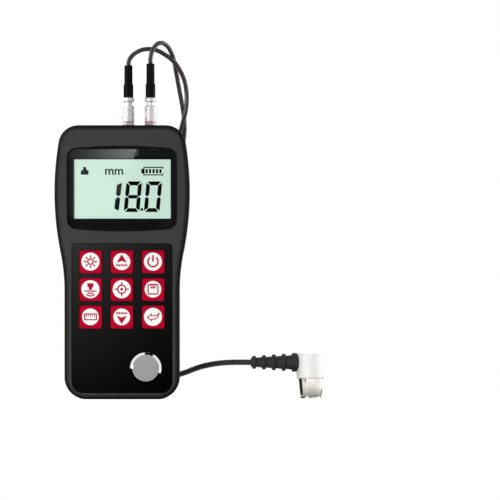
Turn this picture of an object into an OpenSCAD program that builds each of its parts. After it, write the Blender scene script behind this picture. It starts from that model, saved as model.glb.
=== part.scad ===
// Handheld ultrasonic thickness gauge with a twin-element probe on a cable.
// Millimetres, +Z up. The gauge stands on its lower end with the keypad facing -Y,
// and the origin is the middle of that end. The probe stands on the floor to the right.

/* [Housing] */
// Height of the housing
body_h = 150; // [145:1:164]
// Width across the display end
head_w = 74; // [72:0.5:80]
// Width across the grip
grip_w = 63; // [61.5:0.5:67]
// Thickness, front to back
body_t = 32; // [31:0.5:37]
// Drop from the top end to the widest point
head_drop = 36.5; // [33:0.5:41]
// Radius of the bulging sides of the display end
side_r = 165; // [140:5:220]
// Radius of the hollow between the display end and the grip
waist_r = 105; // [85:5:130]
// Radius of the top corners
top_r = 11; // [9.5:0.5:13]
// Radius of the bottom corners
bottom_r = 12; // [10:0.5:14]
// Rounding of the front edge
front_edge_r = 3; // [2:0.25:3]
// Rounding of the back edge
back_edge_r = 7; // [5:0.5:8]
// Thickness of the side walls
side_wall = 2.4; // [2:0.1:2.8]
// Thickness of the front wall
front_wall = 3.2; // [3:0.1:3.8]
// Thickness of the back wall
back_wall = 2.8; // [2.5:0.1:3.2]
// Depth of the front cover, from its face to the parting line
front_cover_d = 12; // [11.5:0.25:13]
// Depth of the display recess and of the keypad recess
recess_d = 1.2; // [1:0.1:1.4]
// Diameter of the housing screws
screw_d = 2.4; // [2.2:0.1:2.8]
// Distance of the lower screws from the bottom end
screw_rise = 9.5; // [9:0.25:12]
// Distance of the upper screws from the top end
screw_drop = 8; // [7:0.25:9]
// Shallow grooves on each side of the grip
grooves = 6; // [3:1:6]
// Depth of a groove
groove_d = 0.2; // [0.1:0.05:0.4]
// Height of a groove
groove_h = 3.3; // [2:0.1:4]
// Distance between grooves
groove_pitch = 6.8; // [5:0.1:7]
// Distance of the first groove's middle from the bottom end
groove_rise = 20.1; // [18:0.1:24]

/* [Display] */
// Drop from the top end to the middle of the window
window_drop = 34.7; // [34:0.1:36]
// Width of the window
window_w = 59.3; // [57:0.1:60.5]
// Height of the window
window_h = 43.5; // [41:0.1:44]
// Radius of the window's corners
window_r = 4.9; // [3:0.1:6]
// Thickness of the window
window_t = 1.4; // [1:0.1:1.5]
// Rise of the recess above and below the window, in the middle
brow_h = 1.3; // [0.5:0.1:1.8]
// Width of the liquid crystal's picture
view_w = 53.5; // [50:0.1:54.5]
// Height of the liquid crystal's picture
view_h = 33; // [31:0.1:34.5]
// Thickness of the liquid crystal panel
crystal_t = 2; // [1.5:0.1:2.4]
// Thickness of the backlight block
backlight_t = 3.6; // [3:0.1:4]

/* [Keypad] */
// Width of the keypad panel
panel_w = 55; // [54:0.1:56.5]
// Height of the frame below the panel
frame_h = 3.5; // [3.3:0.1:4.5]
// Height of the bridge between the display recess and the panel
bridge_h = 6.8; // [5:0.1:8]
// Thickness of the panel
panel_t = 0.6; // [0.4:0.1:0.8]
// Radius of the panel's top corners
panel_top_r = 2.2; // [1:0.1:4]
// Radius of the panel's bottom corners
panel_low_r = 6.3; // [4:0.1:8]
// Distance between key rows, as a share of the panel's height
row_share = 0.1846; // [0.182:0.0002:0.188]
// Width and height of a key, as a share of the distance between rows
key_share = 0.808; // [0.75:0.0002:0.87]
// Radius of a key's corners
key_r = 1; // [0.5:0.1:2]
// Distance between key columns
key_pitch_x = 17.1; // [15.8:0.1:17.5]
// Drop from the panel's top edge to the first row, as a share of the distance between rows
drop_share = 0.669; // [0.6:0.001:0.7]
// Travel of a key
key_travel = 0.5; // [0.3:0.05:0.6]

/* [Test disc] */
// Diameter of the steel test disc
disc_d = 17.2; // [15:0.1:18]
// Diameter of its ground face
disc_face_d = 14.6; // [12:0.1:14.8]
// Thickness of the test disc
disc_t = 4; // [3.5:0.1:5]
// Distance of the disc from the middle of the gauge
disc_x = 13; // [10:0.1:13.5]
// Height of the disc's middle above the panel's lower edge, as a share of the panel's height
disc_share = 0.1663; // [0.153:0.0001:0.173]

/* [Battery] */
// Diameter of a cell
cell_d = 14.5; // [13.8:0.1:14.6]
// Length of a cell with its nub
cell_l = 50.5; // [49:0.1:51]
// Space for the spring at a cell's flat end
spring_l = 4.4; // [3.8:0.1:5]
// Height of the battery well's floor above the bottom end
well_rise = 30; // [26:0.5:34]
// Thickness of the battery door
door_t = 1.8; // [1.6:0.1:2]
// Overlap of the door round the well
door_ledge = 2.4; // [2.2:0.1:3]

/* [Sockets and plugs] */
// Distance of the left socket from the middle of the gauge
socket_x = 3.3; // [0:0.1:4]
// Distance between the sockets
socket_pitch = 12.1; // [11:0.1:12.5]
// Distance of the sockets behind the middle of the housing
socket_y = 4; // [3:0.1:4.5]
// Outer diameter of the plugs
plug_d = 6.4; // [6.3:0.1:7]
// Diameter of a plug's core
core_d = 4; // [3.6:0.1:4.2]
// Height of the ring nut on a socket
nut_h = 3.1; // [2.6:0.1:3.6]
// Length of the release sleeve
sleeve_l = 7.8; // [7:0.1:9]
// Pull of the release sleeve
sleeve_travel = 1.2; // [0.8:0.1:1.5]
// Flutes round the release sleeve
flutes = 14; // [8:1:18]
// Diameter of a boot at the plug
boot_d = 5.4; // [5:0.1:6.2]
// Diameter of a boot at the lead
boot_tip_d = 4.4; // [3.8:0.1:4.8]
// Length of the left boot
left_boot_l = 17.7; // [15:0.1:19]
// Length of the right boot
right_boot_l = 18.7; // [15:0.1:19]

/* [Probe] */
// Distance of the probe from the middle of the gauge
probe_x = 103.5; // [95:0.5:125]
// Distance of the probe behind the middle of the housing
probe_y = 14; // [0:0.5:24]
// Diameter of the probe's head
probe_head_d = 15.8; // [15:0.1:19]
// Height of the probe's head
probe_head_h = 13.7; // [12.5:0.1:17]
// Height of the probe's tip
tip_h = 11.2; // [9.5:0.1:14]
// Diameter of the tip at the head
tip_top_d = 13.7; // [13:0.1:14.5]
// Diameter of the tip's face
tip_face_d = 12; // [11:0.1:13]
// Diameter of the twin elements' face
element_d = 10.4; // [9:0.1:10.6]
// Height of the strain relief's axis above the tip's top
relief_rise = 8.8; // [7:0.1:9]
// Length of the strain relief outside the head
relief_l = 25.2; // [20:0.1:32]
// Diameter of the largest ring of the strain relief
relief_d = 10.4; // [9:0.1:11]
// Diameter of the smallest ring
relief_tip_d = 7.2; // [6:0.1:8]
// Number of rings
relief_rings = 5; // [3:1:6]
// Width of a ring along the axis
ring_w = 2.4; // [1.6:0.1:2.8]

/* [Cable] */
// Diameter of each lead
lead_d = 2.5; // [2.2:0.1:2.8]
// Diameter of the cable
cable_d = 3.1; // [2.8:0.1:3.6]
// Radius of the coil's innermost turn
coil_r = 13; // [12:0.5:15]
// Turns side by side in the coil
coil_turns = 4; // [2:1:4]
// Width of the coil's tie
tie_w = 5; // [3:0.5:8]

/* [Hidden] */
$fn = 48;

housing_grey = [0.25, 0.25, 0.26];
housing_black = [0.08, 0.08, 0.085];
panel_black = [0.05, 0.05, 0.055];
key_red = [0.71, 0, 0.16];
board_green = [0.05, 0.3, 0.15];
rubber_black = [0.06, 0.06, 0.06];
lead_grey = [0.13, 0.13, 0.13];
nickel = [0.8, 0.8, 0.8];
steel = [0.67, 0.66, 0.66];
brass = [0.75, 0.62, 0.3];

// clearances: between still pieces, round the window, round a key, in a running fit, past the end of a cut
gap = 0.15;
rim = 0.4;
key_gap = 0.25;
fit_gap = 0.05;
cut = 1;

// planes across the thickness, front to back
front_y = -body_t / 2;
back_y = body_t / 2;
part_y = front_y + front_cover_d;
floor_y = front_y + recess_d;
inner_y = front_y + front_wall;
board_y = inner_y + crystal_t + backlight_t;
board_t = 1.6;
board_back_y = board_y + board_t;
door_out_y = back_y - 0.1;
door_in_y = door_out_y - door_t;
cell_y = door_in_y - 0.3 - cell_d / 2;
well_floor_y = cell_y - cell_d / 2 - 0.3;
back_inner_y = back_y - back_wall;

// the outline: bottom corner, straight grip, hollow, bulge and top corner on each side
head_z = body_h - head_drop;
head_cx = head_w / 2 - side_r;
waist_cx = grip_w / 2 + waist_r;
waist_z = head_z - sqrt((side_r + waist_r) ^ 2 - (waist_cx - head_cx) ^ 2);
lean = atan2(waist_z - head_z, waist_cx - head_cx);
top_cz = body_h - top_r;
top_cx = head_cx + sqrt((side_r - top_r) ^ 2 - (top_cz - head_z) ^ 2);
shoulder = atan2(top_cz - head_z, top_cx - head_cx);

// heights of the display and the keypad
window_z = body_h - window_drop;
panel_top_z = window_z - window_h / 2 - gap - brow_h - bridge_h;
panel_h = panel_top_z - frame_h;
panel_z = frame_h + panel_h / 2;
key_pitch_z = panel_h * row_share;
key_size = key_pitch_z * key_share;
key_drop = key_pitch_z * drop_share;
key_front_y = front_y + 0.1;
key_skirt = 0.7;
key_skirt_t = 1;
switch_h = 2.2;
disc_z = frame_h + panel_h * disc_share;
disc_front_y = front_y + 0.05;
disc_back_y = disc_front_y + disc_t;

// chips on the back of the board: left edge, height over the window's middle, width and height
chips = [[-6, -19, 12, 12], [12, -15, 8, 6], [-22, -3, 9, 7], [8, 3, 6, 6]];
chip_t = 1.4;

// screw places as [x, z], and the pieces round them
post_d = 6.6;
screw_head_d = 4.4;
screw_head_h = 1.8;
screw_seat_y = part_y + 7;
screw_tip_y = inner_y + 1.2;
screw_spots = [
    for (side = [-1, 1]) each [
        [side * (grip_w / 2 - 6.5), screw_rise],
        [side * (head_w / 2 - 11), body_h - screw_drop]
    ]
];

// the joint between the covers
lip_h = 1.5;
lip_gap = 0.1;

// battery well and door
plate_t = 0.4;
cell_gap = 0.6;
well_wall = 1.5;
well_w = 2 * cell_d + cell_gap + 0.8;
well_h = cell_l + spring_l + 2 * plate_t;
well_top_z = well_rise + well_h;
cell_x = (cell_d + cell_gap) / 2;
nub_d = 5.5;
nub_h = 1.2;
door_w = well_w + 2 * door_ledge;
door_gap = 0.25;
hinge_z = well_rise - door_ledge + door_t / 2;
hinge_y = door_in_y + door_t / 2;
door_top_z = well_top_z + door_ledge;
hinge_pin_d = 1;
hinge_pin_l = 1.2;
spring_wire = cell_d * 0.048;
spring_r = cell_d * 0.33;
spring_tip_r = cell_d * 0.207;
contact_w = cell_d * 0.83;
contact_d = cell_d * 0.76;

// sockets and plugs, upwards from the top end
nut_top_z = body_h + nut_h;
sleeve_top_z = nut_top_z + sleeve_l;
collet_z = sleeve_top_z + sleeve_travel + 0.8;
boot_z = collet_z + 2.4;
socket_neck_d = core_d + 1.4;
left_x = socket_x;
right_x = socket_x + socket_pitch;

// probe
relief_z = tip_h + relief_rise;
relief_x = probe_x - probe_head_d / 2 - relief_l;
spigot_d = 6;

// leads and cable, from the boots down behind the housing and out to the probe
left_route = [
    [3.3, 4, 183.1], [3.5, 4.1, 185.2], [5.3, 5.2, 188.2], [8.8, 7.5, 190.8], [13, 9.7, 192],
    [18, 11.5, 191.6], [23.5, 12.8, 188.9], [28.4, 13.8, 184.9], [31.6, 14.8, 180.3], [33.9, 16, 175],
    [35, 17.2, 169.5], [35.2, 18, 164], [34.6, 18.8, 158.2], [33.3, 19.4, 152.7], [31.8, 20, 147.2],
    [30.2, 20.3, 141.5], [28.7, 20.4, 135.5], [27.5, 20.4, 129.5], [26.9, 20.4, 124], [26.8, 20.4, 118.1]
];
right_route = [
    [15.4, 4, 184.1], [15.5, 4.3, 187.5], [17.2, 6, 192.5], [20.6, 9, 195.4], [24.2, 12.4, 194],
    [26.8, 15.3, 190], [28.4, 17.3, 185], [29.4, 18.6, 179.5], [30.4, 19.7, 174], [31.5, 20.7, 168],
    [32.6, 21.5, 162], [33.5, 22.2, 156], [34, 22.7, 150], [33.7, 22.9, 144], [32.8, 22.7, 138],
    [31.6, 22.1, 132], [30.4, 21.3, 126], [29.8, 20.6, 122], [29.8, 20.4, 118.1]
];
down_route = [
    [28.3, 20.4, 103.9], [28.3, 20.5, 97], [28.2, 20.7, 89], [28, 21, 81], [27.7, 21.4, 73],
    [27.2, 21.9, 65], [26.5, 22.5, 57], [25.7, 23.2, 49], [24.8, 24.1, 41], [23.9, 25.4, 33.5],
    [23.2, 27.4, 26], [22.8, 30.4, 19], [22.6, 34.4, 12.5], [22.6, 39.4, 7], [22.6, 46, 3]
];
out_route = [
    [0, 23.4, 5.5], [7, 23, 6.3], [14, 22.3, 7.9], [21, 21.3, 10], [28, 20, 12.3],
    [35, 18.4, 14.6], [41, 16.9, 16.9], [47.5, 15.4, 18.6], [54, 14.4, 19.6], [61, 14, 20], [70.4, 14, 20]
];
split_x = 28.3;
split_y = 20.4;
split_top_z = 118;
split_h = 14;
lead_step = 3;
coil_y = 46;
turn_step = cable_d + 0.1;
coil_skin = 0.15;
coil_in_r = coil_r - cable_d / 2 - coil_skin;
coil_out_r = coil_r + (coil_turns - 1) * turn_step + cable_d / 2 + coil_skin;
tie_t = 0.6;
tie_gap = 0.4;
coil_z = tie_t + 0.1;
coil_h = cable_d + turn_step + 2 * coil_skin;

// points round an arc, without its first one
function arc(c, r, from, to, n) =
    [for (i = [1:n]) c + r * [cos(from + (to - from) * i / n), sin(from + (to - from) * i / n)]];

function mirrored(points) = [for (i = [len(points) - 1:-1:0]) [-points[i].x, points[i].y]];

// the housing's outline, moved in by d all round
function right_side(d) = concat(
    [[grip_w / 2 - bottom_r, d]],
    arc([grip_w / 2 - bottom_r, bottom_r], bottom_r - d, -90, 0, 8),
    [[grip_w / 2 - d, waist_z]],
    arc([waist_cx, waist_z], waist_r + d, 180, 180 + lean, 5),
    arc([head_cx, head_z], side_r - d, lean, shoulder, 9),
    arc([top_cx, top_cz], top_r - d, shoulder, 90, 7)
);
function outline(d) = concat(right_side(d), mirrored(right_side(d)));

// a rectangle round the origin with one radius at the bottom and one at the top, and bowed ends
function soft_rect(w, h, low_r, high_r, bow = 0) =
    let (
        bows = bow > 0 ? [1:5] : [],
        right = concat(
            [for (t = bows) [(w / 2 - low_r) * t / 6, -h / 2 - bow * (1 - t * t / 36)]],
            [[w / 2 - low_r, -h / 2]],
            arc([w / 2 - low_r, low_r - h / 2], low_r, -90, 0, 6),
            [[w / 2, h / 2 - high_r]],
            arc([w / 2 - high_r, h / 2 - high_r], high_r, 0, 90, 6),
            [for (t = bows) [(w / 2 - high_r) * (6 - t) / 6, h / 2 + bow * (1 - (6 - t) ^ 2 / 36)]]
        )
    )
    concat(right, mirrored(right));

// an upright 2D shape as a slab between two planes
module slab(from_y, to_y) {
    translate([0, to_y, 0]) rotate([90, 0, 0]) linear_extrude(to_y - from_y) children();
}

// a round bar from front to back
module bar(from_y, to_y, d, at) {
    translate([at.x, to_y, at.y]) rotate([90, 0, 0]) cylinder(h = to_y - from_y, d = d);
}

// a shape copied to each place of a list of [x, z]
module at_each(spots) {
    for (spot = spots) translate([spot.x, 0, spot.y]) children();
}

// what the grooves take out of both sides of the grip
module grip_grooves() {
    run = body_t - front_edge_r - back_edge_r - 2;
    mid_y = (front_edge_r - back_edge_r) / 2;
    for (side = [-1, 1], k = [0:grooves - 1])
        translate([side * (grip_w / 2 + cut - groove_d), mid_y, groove_rise + k * groove_pitch])
            cube([2 * cut, run, groove_h], center = true);
}

// rings of points joined into one closed solid
module skin(rings) {
    n = len(rings[0]);
    last = len(rings) - 1;
    sides = [
        for (k = [0:last - 1], i = [0:n - 1])
            [k * n + i, k * n + (i + 1) % n, (k + 1) * n + (i + 1) % n, (k + 1) * n + i]
    ];
    first_cap = [for (i = [n - 1:-1:0]) i];
    last_cap = [for (i = [0:n - 1]) last * n + i];
    polyhedron([for (ring = rings) each ring], concat([first_cap], sides, [last_cap]));
}

// the housing through its layers, each [y, inset], cut square at its first and last plane;
// the end layers run past those planes, so that each end is one clean face
function past(end, before) = end + 0.3 * (end - before);
module housing(layers) {
    last = len(layers) - 1;
    run = [
        for (k = [0:last])
            k == 0 ? past(layers[0], layers[1]) : k == last ? past(layers[last], layers[last - 1]) : layers[k]
    ];
    intersection() {
        skin([for (layer = run) [for (p = outline(layer[1])) [p.x, layer[0], p.y]]]);
        translate([-head_w, layers[0][0], -cut])
            cube([2 * head_w, layers[last][0] - layers[0][0], body_h + 2 * cut]);
    }
}

function unit(v) = v / norm(v);
function tangent(path, i) = unit(path[min(i + 1, len(path) - 1)] - path[max(i - 1, 0)]);
function turned(v, t) = unit(v - (v * t) * t);

// one direction square to the path at each point, carried along without twist
function carried(path, i, v) =
    i == len(path) ? [] : let (next = turned(v, tangent(path, i))) concat([next], carried(path, i + 1, next));

// a round tube along a path, square to its ends
module tube(path, d, sides, start) {
    side = carried(path, 0, start);
    skin([
        for (i = [0:len(path) - 1])
            let (u = side[i], v = cross(u, tangent(path, i)))
            [for (a = [0:360 / sides:359]) path[i] + d / 2 * (cos(a) * u + sin(a) * v)]
    ]);
}

module front_cover() {
    steps = 5;
    edge = [
        for (k = [0:steps])
            let (a = 90 * k / steps)
            [front_y + front_edge_r * (1 - cos(a)), front_edge_r * (1 - sin(a))]
    ];
    color(housing_grey) difference() {
        union() {
            difference() {
                housing(concat(edge, [[part_y, 0]]));
                slab(inner_y, part_y + cut) polygon(outline(side_wall));
            }
            for (spot = screw_spots) bar(inner_y - cut, board_y, post_d, spot);
            bar(inner_y - cut, disc_back_y + 1.2, disc_d + 3.2, [disc_x, disc_z]);
        }
        slab(part_y - lip_h - lip_gap, part_y + cut) polygon(outline(side_wall / 2));
        translate([0, 0, window_z]) {
            slab(front_y - cut, floor_y)
                polygon(soft_rect(window_w + 2 * rim, window_h + 2 * rim, window_r, window_r, brow_h));
            slab(front_y, floor_y + window_t)
                polygon(soft_rect(window_w + 2 * gap, window_h + 2 * gap, window_r, window_r));
            slab(front_y, inner_y + cut) square([view_w + 1.6, view_h + 1.6], center = true);
        }
        translate([0, 0, panel_z]) slab(front_y - cut, floor_y)
            polygon(soft_rect(panel_w + 2 * gap, panel_h + 2 * gap, panel_low_r, panel_top_r));
        at_each(key_spots()) slab(front_y, inner_y + cut)
            polygon(soft_rect(key_size + 2 * key_gap, key_size + 2 * key_gap, key_r, key_r));
        bar(front_y, disc_back_y, disc_d + 2 * fit_gap, [disc_x, disc_z]);
        for (spot = screw_spots) bar(screw_tip_y - 0.5, board_y + cut, screw_d - 0.1, spot);
        grip_grooves();
    }
}

module rear_cover() {
    steps = 6;
    edge = [
        for (k = [0:steps])
            let (a = 90 * k / steps)
            [back_y - back_edge_r * (1 - sin(a)), back_edge_r * (1 - cos(a))]
    ];
    shelf_y = back_y - back_edge_r + 0.5;
    color(housing_black) difference() {
        union() {
            difference() {
                union() {
                    housing(concat([[part_y, 0]], edge));
                    slab(part_y - lip_h, part_y + cut) polygon(outline(side_wall / 2 + lip_gap));
                }
                slab(part_y - lip_h - cut, shelf_y) polygon(outline(side_wall));
                slab(shelf_y - cut, back_inner_y) polygon(outline(side_wall + 2.8));
            }
            for (spot = screw_spots) bar(board_back_y, back_inner_y + 0.4, post_d, spot);
            translate([-well_w / 2 - well_wall, well_floor_y - well_wall, well_rise - well_wall]) cube([
                well_w + 2 * well_wall,
                back_inner_y + 0.4 - well_floor_y + well_wall,
                well_h + 2 * well_wall
            ]);
        }
        translate([-well_w / 2, well_floor_y, well_rise]) cube([well_w, body_t, well_h]);
        translate([-door_w / 2 - door_gap, door_in_y, hinge_z])
            cube([door_w + 2 * door_gap, body_t, door_top_z - hinge_z + door_gap]);
        translate([0, hinge_y, hinge_z]) rotate([0, 90, 0]) {
            cylinder(h = door_w + 2 * door_gap, d = door_t + 0.6, center = true);
            cylinder(
                h = door_w + 2 * door_gap + 2 * hinge_pin_l, d = hinge_pin_d + 2 * fit_gap, center = true
            );
        }
        translate([-door_w / 2 - door_gap, hinge_y, hinge_z - door_t / 2 - 0.3])
            cube([door_w + 2 * door_gap, body_t, door_t]);
        bar(door_in_y + 0.4, back_y + cut, 12, [0, door_top_z]);
        for (spot = screw_spots) {
            bar(board_back_y - cut, back_y, screw_d + 0.3, spot);
            bar(screw_seat_y, back_y + cut, screw_head_d + 0.6, spot);
        }
        for (x = [left_x, right_x]) translate([x, socket_y, body_h - side_wall - cut])
            cylinder(h = side_wall + 2 * cut, d = socket_neck_d + 2 * fit_gap);
        grip_grooves();
    }
}

module battery_door() {
    color(housing_black) difference() {
        union() {
            translate([-door_w / 2, door_in_y, hinge_z]) cube([door_w, door_t, door_top_z - hinge_z]);
            translate([0, hinge_y, hinge_z]) rotate([0, 90, 0]) {
                cylinder(h = door_w, d = door_t, center = true);
                cylinder(h = door_w + 2 * hinge_pin_l, d = hinge_pin_d, center = true);
            }
        }
        for (k = [0:4]) translate([-7, door_out_y - 0.4, door_top_z - 9 - 2 * k]) cube([14, cut, 1]);
    }
}

module housing_screws() {
    color(nickel) for (spot = screw_spots) difference() {
        union() {
            bar(screw_tip_y, screw_seat_y + cut, screw_d - 0.2, spot);
            bar(screw_seat_y, screw_seat_y + screw_head_h, screw_head_d, spot);
        }
        translate([spot.x, screw_seat_y + screw_head_h + cut - 0.8, spot.y])
            for (turn = [0, 90]) rotate([0, turn, 0]) cube([2.6, 2 * cut, 0.6], center = true);
    }
}

module display_window() {
    color([0.6, 0.65, 0.65, 0.4]) translate([0, 0, window_z]) slab(floor_y, floor_y + window_t)
        polygon(soft_rect(window_w, window_h, window_r, window_r));
}

module crystal_panel() {
    color([0.81, 0.91, 0.85]) translate([0, 0, window_z]) slab(inner_y, inner_y + crystal_t)
        square([view_w + 4, view_h + 6], center = true);
}

module backlight() {
    color([0.9, 0.9, 0.88]) translate([0, 0, window_z]) slab(inner_y + crystal_t, board_y)
        square([view_w + 2.5, view_h + 4], center = true);
}

// middles of the nine keys as [x, z], row by row from the top left
function key_spots() = [
    for (row = [0:2], column = [-1:1])
        [column * key_pitch_x, panel_top_z - key_drop - row * key_pitch_z]
];

module keypad_panel() {
    color(panel_black) difference() {
        translate([0, 0, panel_z]) slab(floor_y - panel_t, floor_y)
            polygon(soft_rect(panel_w, panel_h, panel_low_r, panel_top_r));
        at_each(key_spots()) slab(front_y, inner_y)
            polygon(soft_rect(key_size + 2 * key_gap, key_size + 2 * key_gap, key_r, key_r));
        bar(front_y, inner_y, disc_d + 2 * gap, [disc_x, disc_z]);
    }
}

// a cap with a skirt behind the front wall and a stem that reaches for its switch
module key(index) {
    stem_y = board_y - switch_h - key_travel - 0.1;
    color(key_red) at_each([key_spots()[index]]) {
        slab(key_front_y, inner_y + key_skirt_t / 2) polygon(soft_rect(key_size, key_size, key_r, key_r));
        slab(inner_y, inner_y + key_skirt_t)
            polygon(soft_rect(key_size + 2 * key_skirt, key_size + 2 * key_skirt, key_r, key_r));
        bar(inner_y, stem_y, 3.5, [0, 0]);
    }
}

module key_switches() {
    color(steel) at_each(key_spots()) {
        translate([-3, board_y - switch_h + 0.6, -3]) cube([6, switch_h - 0.6, 6]);
        bar(board_y - switch_h, board_y - cut, 3, [0, 0]);
    }
}

module main_board() {
    color(board_green) difference() {
        slab(board_y, board_back_y) polygon(outline(side_wall + 0.6));
        for (spot = screw_spots) bar(board_y - cut, board_back_y + cut, screw_d + 0.3, spot);
    }
}

module board_chips() {
    color([0.1, 0.1, 0.1]) for (chip = chips)
        translate([chip[0], board_back_y, window_z + chip[1]]) cube([chip[2], chip_t, chip[3]]);
}

module test_disc() {
    bevel = (disc_d - disc_face_d) / 2;
    color(steel) translate([disc_x, disc_back_y, disc_z]) rotate([90, 0, 0]) rotate_extrude()
        polygon([[0, 0], [disc_d / 2, 0], [disc_d / 2, disc_t - bevel / 2],
            [disc_face_d / 2, disc_t], [0, disc_t]]);
}

// a coaxial socket: flange under the top wall, neck through it and a bore for the plug's nose
module socket(x) {
    flange_z = body_h - side_wall;
    color(nickel) translate([x, socket_y, 0]) difference() {
        union() {
            translate([0, 0, flange_z - 1.4]) cylinder(h = 1.4, d = socket_neck_d + 3);
            translate([0, 0, flange_z - cut]) cylinder(h = nut_top_z - flange_z + cut, d = socket_neck_d);
            translate([0, 0, flange_z - 9]) cylinder(h = 8, d = socket_neck_d + 0.6);
        }
        translate([0, 0, body_h - 6]) cylinder(h = nut_h + 6 + cut, d = core_d + 2 * fit_gap);
    }
}

module socket_nuts() {
    color(nickel) for (x = [left_x, right_x]) translate([x, socket_y, body_h]) rotate_extrude()
        polygon([
            [socket_neck_d / 2 + fit_gap, 0], [plug_d / 2, 0], [plug_d / 2, nut_h * 0.4],
            [plug_d / 2 - 0.2, nut_h * 0.45], [plug_d / 2 - 0.2, nut_h * 0.55],
            [plug_d / 2, nut_h * 0.6], [plug_d / 2, nut_h], [socket_neck_d / 2 + fit_gap, nut_h]
        ]);
}

// the inner part of a plug: nose in the socket, neck through the sleeve, collet nut and tail
module plug(x) {
    color(nickel) translate([x, socket_y, 0]) {
        translate([0, 0, body_h - 5.7]) cylinder(h = boot_z + 5 - body_h + 5.7, d = core_d);
        translate([0, 0, collet_z]) rotate_extrude()
            polygon([
                [0, 0], [plug_d / 2 - 0.4, 0], [plug_d / 2, 0.4],
                [plug_d / 2, boot_z - collet_z], [0, boot_z - collet_z]
            ]);
    }
}

// the release sleeve of a plug, fluted over its lower half
module sleeve(x) {
    color(nickel) translate([x, socket_y, nut_top_z]) difference() {
        rotate_extrude() polygon([
            [core_d / 2 + fit_gap, 0], [plug_d / 2, 0], [plug_d / 2, sleeve_l - 0.8],
            [plug_d / 2 - 0.5, sleeve_l], [core_d / 2 + fit_gap, sleeve_l]
        ]);
        for (k = [0:flutes - 1]) rotate(360 * k / flutes)
            translate([plug_d / 2 + 0.05, 0, 0.6]) cylinder(h = sleeve_l / 2, d = 0.6);
    }
}

// a shrunk boot: wide over the plug's tail, stepped down to the lead
module boot(x, l) {
    step = l * 0.4;
    color(rubber_black) translate([x, socket_y, boot_z]) difference() {
        rotate_extrude() polygon([
            [0, 0], [boot_d / 2, 0], [boot_d / 2, step - 0.6], [boot_tip_d / 2 + 0.05, step + 0.6],
            [boot_tip_d / 2, l - 0.6], [boot_tip_d / 2 - 0.5, l], [0, l]
        ]);
        translate([0, 0, -cut]) cylinder(h = 5 + gap + cut, d = core_d + 2 * fit_gap);
    }
}

// an AA cell with its nub up or down
module cell(x, nub_up) {
    z = well_rise + plate_t + (nub_up ? spring_l : 0);
    color([0.12, 0.2, 0.35]) translate([x, cell_y, z]) {
        translate([0, 0, nub_up ? 0 : nub_h]) cylinder(h = cell_l - nub_h, d = cell_d);
        cylinder(h = cell_l - (nub_up ? 0 : nub_h), d = nub_d);
    }
}

// two conical springs, under the left cell and over the right one
module cell_springs() {
    turns = 3.5;
    rings = 36;
    rise = spring_l - spring_wire - 0.2;
    path = [
        for (k = [0:rings])
            let (a = 360 * turns * k / rings, r = spring_r + (spring_tip_r - spring_r) * k / rings)
            [r * cos(a), r * sin(a), spring_wire / 2 + 0.1 + rise * k / rings]
    ];
    color(nickel) {
        translate([-cell_x, cell_y, well_rise + plate_t]) tube(path, spring_wire, 6, [0, 0, 1]);
        translate([cell_x, cell_y, well_top_z - plate_t]) rotate([180, 0, 0])
            tube(path, spring_wire, 6, [0, 0, 1]);
    }
}

module cell_contacts() {
    color(nickel) {
        translate([-cell_x - contact_w / 2, well_floor_y + 1, well_rise])
            cube([2 * cell_x + contact_w, contact_d, plate_t]);
        for (side = [-1, 1])
            translate([side * cell_x - contact_w / 2, well_floor_y + 1, well_top_z - plate_t])
                cube([contact_w, contact_d, plate_t]);
    }
}

module left_lead() {
    color(lead_grey) tube(left_route, lead_d, 8, [0, 1, 0]);
}

module right_lead() {
    color(lead_grey) tube(right_route, lead_d, 8, [0, 1, 0]);
}

// a shrunk sleeve that gathers the two leads into the cable
module split_sleeve() {
    color(rubber_black) translate([split_x, split_y, split_top_z]) {
        translate([0, 0, -split_h]) cylinder(h = split_h / 2, d = cable_d + 1.4);
        translate([-lead_step / 2, -lead_d / 2 - 0.5, -split_h / 2])
            cube([lead_step, lead_d + 1, split_h / 2]);
        for (side = [-1, 1]) translate([side * lead_step / 2, 0, -split_h / 2])
            cylinder(h = split_h / 2, d = lead_d + 1);
    }
}

module cable_down() {
    color(lead_grey) tube(down_route, cable_d, 8, [0, 1, 0]);
}

module cable_coil() {
    color(lead_grey) translate([0, coil_y, coil_z]) rotate_extrude() translate([coil_in_r, 0])
        polygon([for (p = soft_rect(coil_out_r - coil_in_r, coil_h, 1.4, 1.4))
            p + [coil_out_r - coil_in_r, coil_h] / 2]);
}

module cable_out() {
    color(lead_grey) tube(out_route, cable_d, 8, [0, 1, 0]);
}

// a strap round the coil, on the side away from the probe
module coil_tie() {
    strap_w = coil_out_r - coil_in_r + 2 * (tie_gap + tie_t);
    strap_h = coil_z + coil_h + tie_gap + tie_t;
    color(rubber_black) translate([-(coil_in_r + coil_out_r) / 2, coil_y, strap_h / 2])
        slab(-tie_w / 2, tie_w / 2) difference() {
            polygon(soft_rect(strap_w, strap_h, 1.5, 1.5));
            polygon(soft_rect(strap_w - 2 * tie_t, strap_h - 2 * tie_t, 0.9, 0.9));
        }
}

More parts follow.
